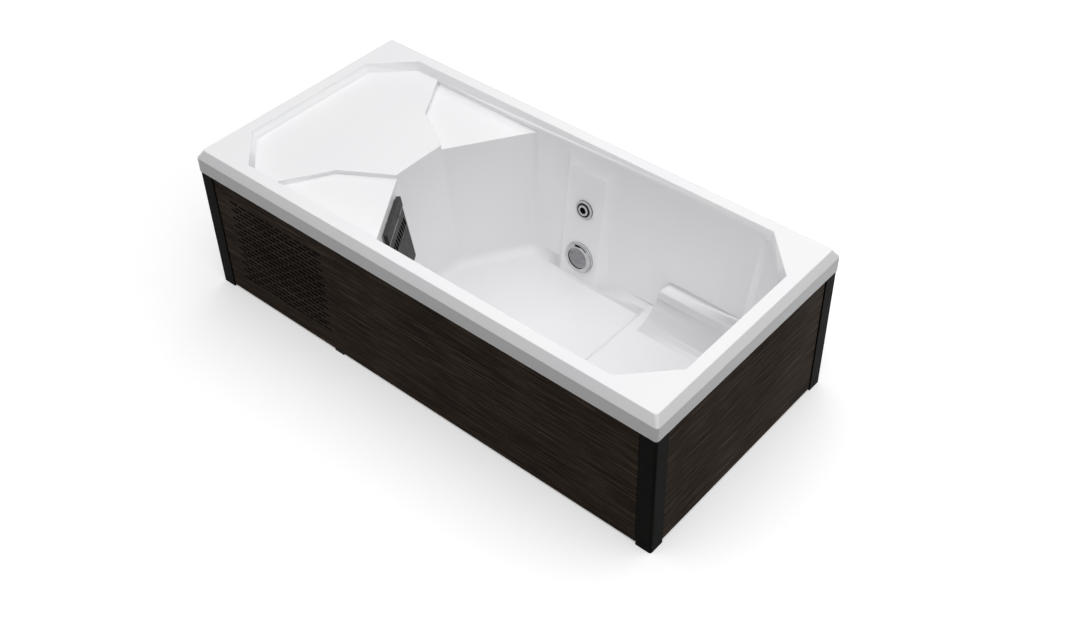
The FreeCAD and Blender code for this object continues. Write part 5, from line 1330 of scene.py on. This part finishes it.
@dataclass
class Machines(SubAssembly):
    """Pump, chiller, controls and pipes in the bay under the deck. Sizes are in millimetres."""

    fins: int = 120
    fin_sheet: float = 0.6
    tube: float = 9.5
    tube_sides: int = 24
    tubes: int = 8
    edge: float = 1.2
    fine_edge: float = 0.8
    line_edge: float = 0.4

    def build(self) -> None:
        """Build the condenser and dress the rest."""
        self.condenser()
        self.copy_softly(["pump_volute", "pump_motor", "pump_foot", "fan_motor", "fan_shroud", "compressor",
                          "heat_exchanger", "control_box", "control_lid"], self.edge)
        self.copy_softly(["pump_impeller", "fan_rotor", "suction_tee", "suction_pipe", "skimmer_pipe",
                          "chiller_pipe", "return_pipe"], self.fine_edge)
        self.copy_softly(["gas_lines"], self.line_edge)

    def condenser(self) -> None:
        """A stack of thin fins on level tubes."""
        low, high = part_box("condenser_coil")
        start, end = [corner.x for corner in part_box("fan_shroud")]
        place = Place(Vector((0, 0, 0)), UP, LEVEL)
        sheet = self.fin_sheet * MM
        fin = block(Vector((start, low.y, low.z)), Vector((start + sheet, high.y, high.z)))
        pitch = (end - start - sheet) / (self.fins - 1)
        row = {"Count": self.fins, "Offset": (pitch, 0, 0)}
        shapes = [REPEATER.run(Pattern.STACK, fin, "condenser_coil", row, place)]
        step = (high.z - low.z) / self.tubes
        spot = Matrix.Translation(((low.x + high.x) / 2, (low.y + high.y) / 2, low.z + step / 2))
        level = spot @ Matrix.Rotation(math.pi / 2, 4, "Y")
        tube = rod(self.tube / 2 * MM, high.x - low.x, self.tube_sides, level)
        row = {"Count": self.tubes, "Offset": (0, 0, step)}
        shapes.append(REPEATER.run(Pattern.STACK, tube, "condenser_coil", row, place))
        hand_over(smooth(new_piece("condenser_coil", joined(shapes))), "condenser_coil")


@dataclass
class Drain(SubAssembly):
    """The floor drain, its pipe and the service recess in the deck end panel. Sizes are in millimetres."""

    edge: float = 0.8
    handle_edge: float = 1.0

    def build(self) -> None:
        """Dress the drain's pieces."""
        self.copy_softly(["drain_fitting", "drain_pipe", "drain_valve", "service_recess", "cable_gland"],
                         self.edge)
        self.copy_softly(["drain_handle"], self.handle_edge)


@dataclass
class Studio:
    """The floor, the light and the camera.

    Lengths are in metres, the sensor's width in millimetres and angles in degrees. Names with px give pixels
    of the picture.
    """

    picture: tuple[int, int] = (1071, 620)
    camera_place: tuple[float, float, float] = (2.5022, -2.6544, 3.4533)
    yaw: float = 40.703
    pitch: float = 41.950
    roll: float = -0.888
    focal_px: float = 1393.37
    axis_px: tuple[float, float] = (554.56, 290.46)
    sensor: float = 36.0
    floor_size: float = 30.0
    floor_colour: str = "F2F2F2"
    floor_shade: str = "606060"
    floor_glow: float = 0.3
    white_from: float = 2.0
    white_to: float = 6.0
    world_colour: str = "FFFFFF"
    world_strength: float = 0.05
    lamp_power: float = 440.0
    lamp_size: tuple[float, float] = (10.0, 10.0)
    lamp_place: tuple[float, float, float] = (1.4, 0.3, 3.9)

    def build(self) -> None:
        """Set up the whole studio."""
        self.floor()
        self.world()
        self.lamp()
        self.camera()
        bpy.context.scene.view_settings.view_transform = "Standard"

    def floor(self) -> None:
        """A pale floor that shows white with the tub's shadow, and throws back less light than it shows."""
        shape = bmesh.new()
        bmesh.ops.create_grid(shape, x_segments=1, y_segments=1, size=self.floor_size / 2)
        floor = new_piece("floor", shape)
        made = bpy.data.materials.new("studio_floor")
        tree = bare_tree(made)
        seen = self.seen(tree)
        colour = add_node(tree, "ShaderNodeMix", {"data_type": "RGBA"}, {
            0: seen, 6: linear(self.floor_shade), 7: linear(self.floor_colour)})
        matt = add_node(tree, "ShaderNodeBsdfDiffuse", None, {"Color": colour.outputs[2]})
        place = add_node(tree, "ShaderNodeTexCoord").outputs["Object"]
        away = add_node(tree, "ShaderNodeVectorMath", {"operation": "LENGTH"}, {0: place})
        # Far from the tub, where the lamp's light ends, the floor's own white takes over
        white = add_node(tree, "ShaderNodeMapRange", None, {
            "Value": away.outputs["Value"], "From Min": self.white_from, "From Max": self.white_to,
            "To Min": self.floor_glow, "To Max": 1.0})
        glow = add_node(tree, "ShaderNodeMath", {"operation": "MULTIPLY"}, {
            0: seen, 1: white.outputs["Result"]})
        shine = add_node(tree, "ShaderNodeEmission", None, {"Strength": glow.outputs[0]})
        both = add_node(tree, "ShaderNodeAddShader", None, {0: matt.outputs[0], 1: shine.outputs[0]})
        add_node(tree, "ShaderNodeOutputMaterial", None, {"Surface": both.outputs[0]})
        floor.data.materials.append(made)

    @staticmethod
    def seen(tree: Tree) -> Socket:
        """Tell rays that show the background from those that carry light.

        Args:
            tree: The tree of the floor or the world.

        Returns:
            One for rays from the eye, also by way of gloss or glass, and nought for the others.
        """
        rays = add_node(tree, "ShaderNodeLightPath").outputs
        gloss = add_node(tree, "ShaderNodeMath", {"operation": "MAXIMUM"}, {
            0: rays["Is Camera Ray"], 1: rays["Is Glossy Ray"]})
        whole = add_node(tree, "ShaderNodeMath", {"operation": "MAXIMUM"}, {
            0: gloss.outputs[0], 1: rays["Is Transmission Ray"]})
        return whole.outputs[0]

    def world(self) -> None:
        """A white surround to look at, which gives only a low light."""
        world = bpy.data.worlds.new("studio_world")
        bpy.context.scene.world = world
        tree = bare_tree(world)
        strength = add_node(tree, "ShaderNodeMapRange", None, {
            "Value": self.seen(tree), "To Min": self.world_strength, "To Max": 1.0})
        light = add_node(tree, "ShaderNodeBackground", None, {
            "Color": linear(self.world_colour), "Strength": strength.outputs["Result"]})
        add_node(tree, "ShaderNodeOutputWorld", None, {"Surface": light.outputs[0]})

    def lamp(self) -> None:
        """One very large soft lamp above, a little towards the seat end."""
        data = bpy.data.lights.new("softbox", "AREA")
        data.shape = "RECTANGLE"
        data.size, data.size_y = self.lamp_size
        data.energy = self.lamp_power
        lamp = bpy.data.objects.new("softbox", data)
        lamp.location = self.lamp_place
        lamp.visible_camera = False
        bpy.context.scene.collection.objects.link(lamp)

    def camera(self) -> None:
        """The camera where the picture was taken from."""
        wide, high = self.picture
        data = bpy.data.cameras.new("camera")
        data.sensor_width = self.sensor
        data.lens = self.focal_px * self.sensor / wide
        data.shift_x = (wide / 2 - self.axis_px[0]) / wide
        data.shift_y = (self.axis_px[1] - high / 2) / wide
        camera = bpy.data.objects.new("camera", data)
        aim = Matrix.Rotation(math.radians(self.yaw), 4, "Z")
        aim = aim @ Matrix.Rotation(math.radians(90 - self.pitch), 4, "X")
        aim = aim @ Matrix.Rotation(math.radians(self.roll), 4, "Z")
        camera.matrix_world = Matrix.Translation(self.camera_place) @ aim
        bpy.context.scene.collection.objects.link(camera)
        bpy.context.scene.camera = camera


def main() -> None:
    """Build every sub-assembly and the studio."""
    logging.basicConfig(level=logging.INFO, format="%(message)s")
    for part in (MouldedShell(), Skirt(), Skimmer(), WallFittings(), Frame(), Machines(), Drain(), Studio()):
        LOG.info("building %s", type(part).__name__)
        part.build()


if __name__ == "__main__":
    main()
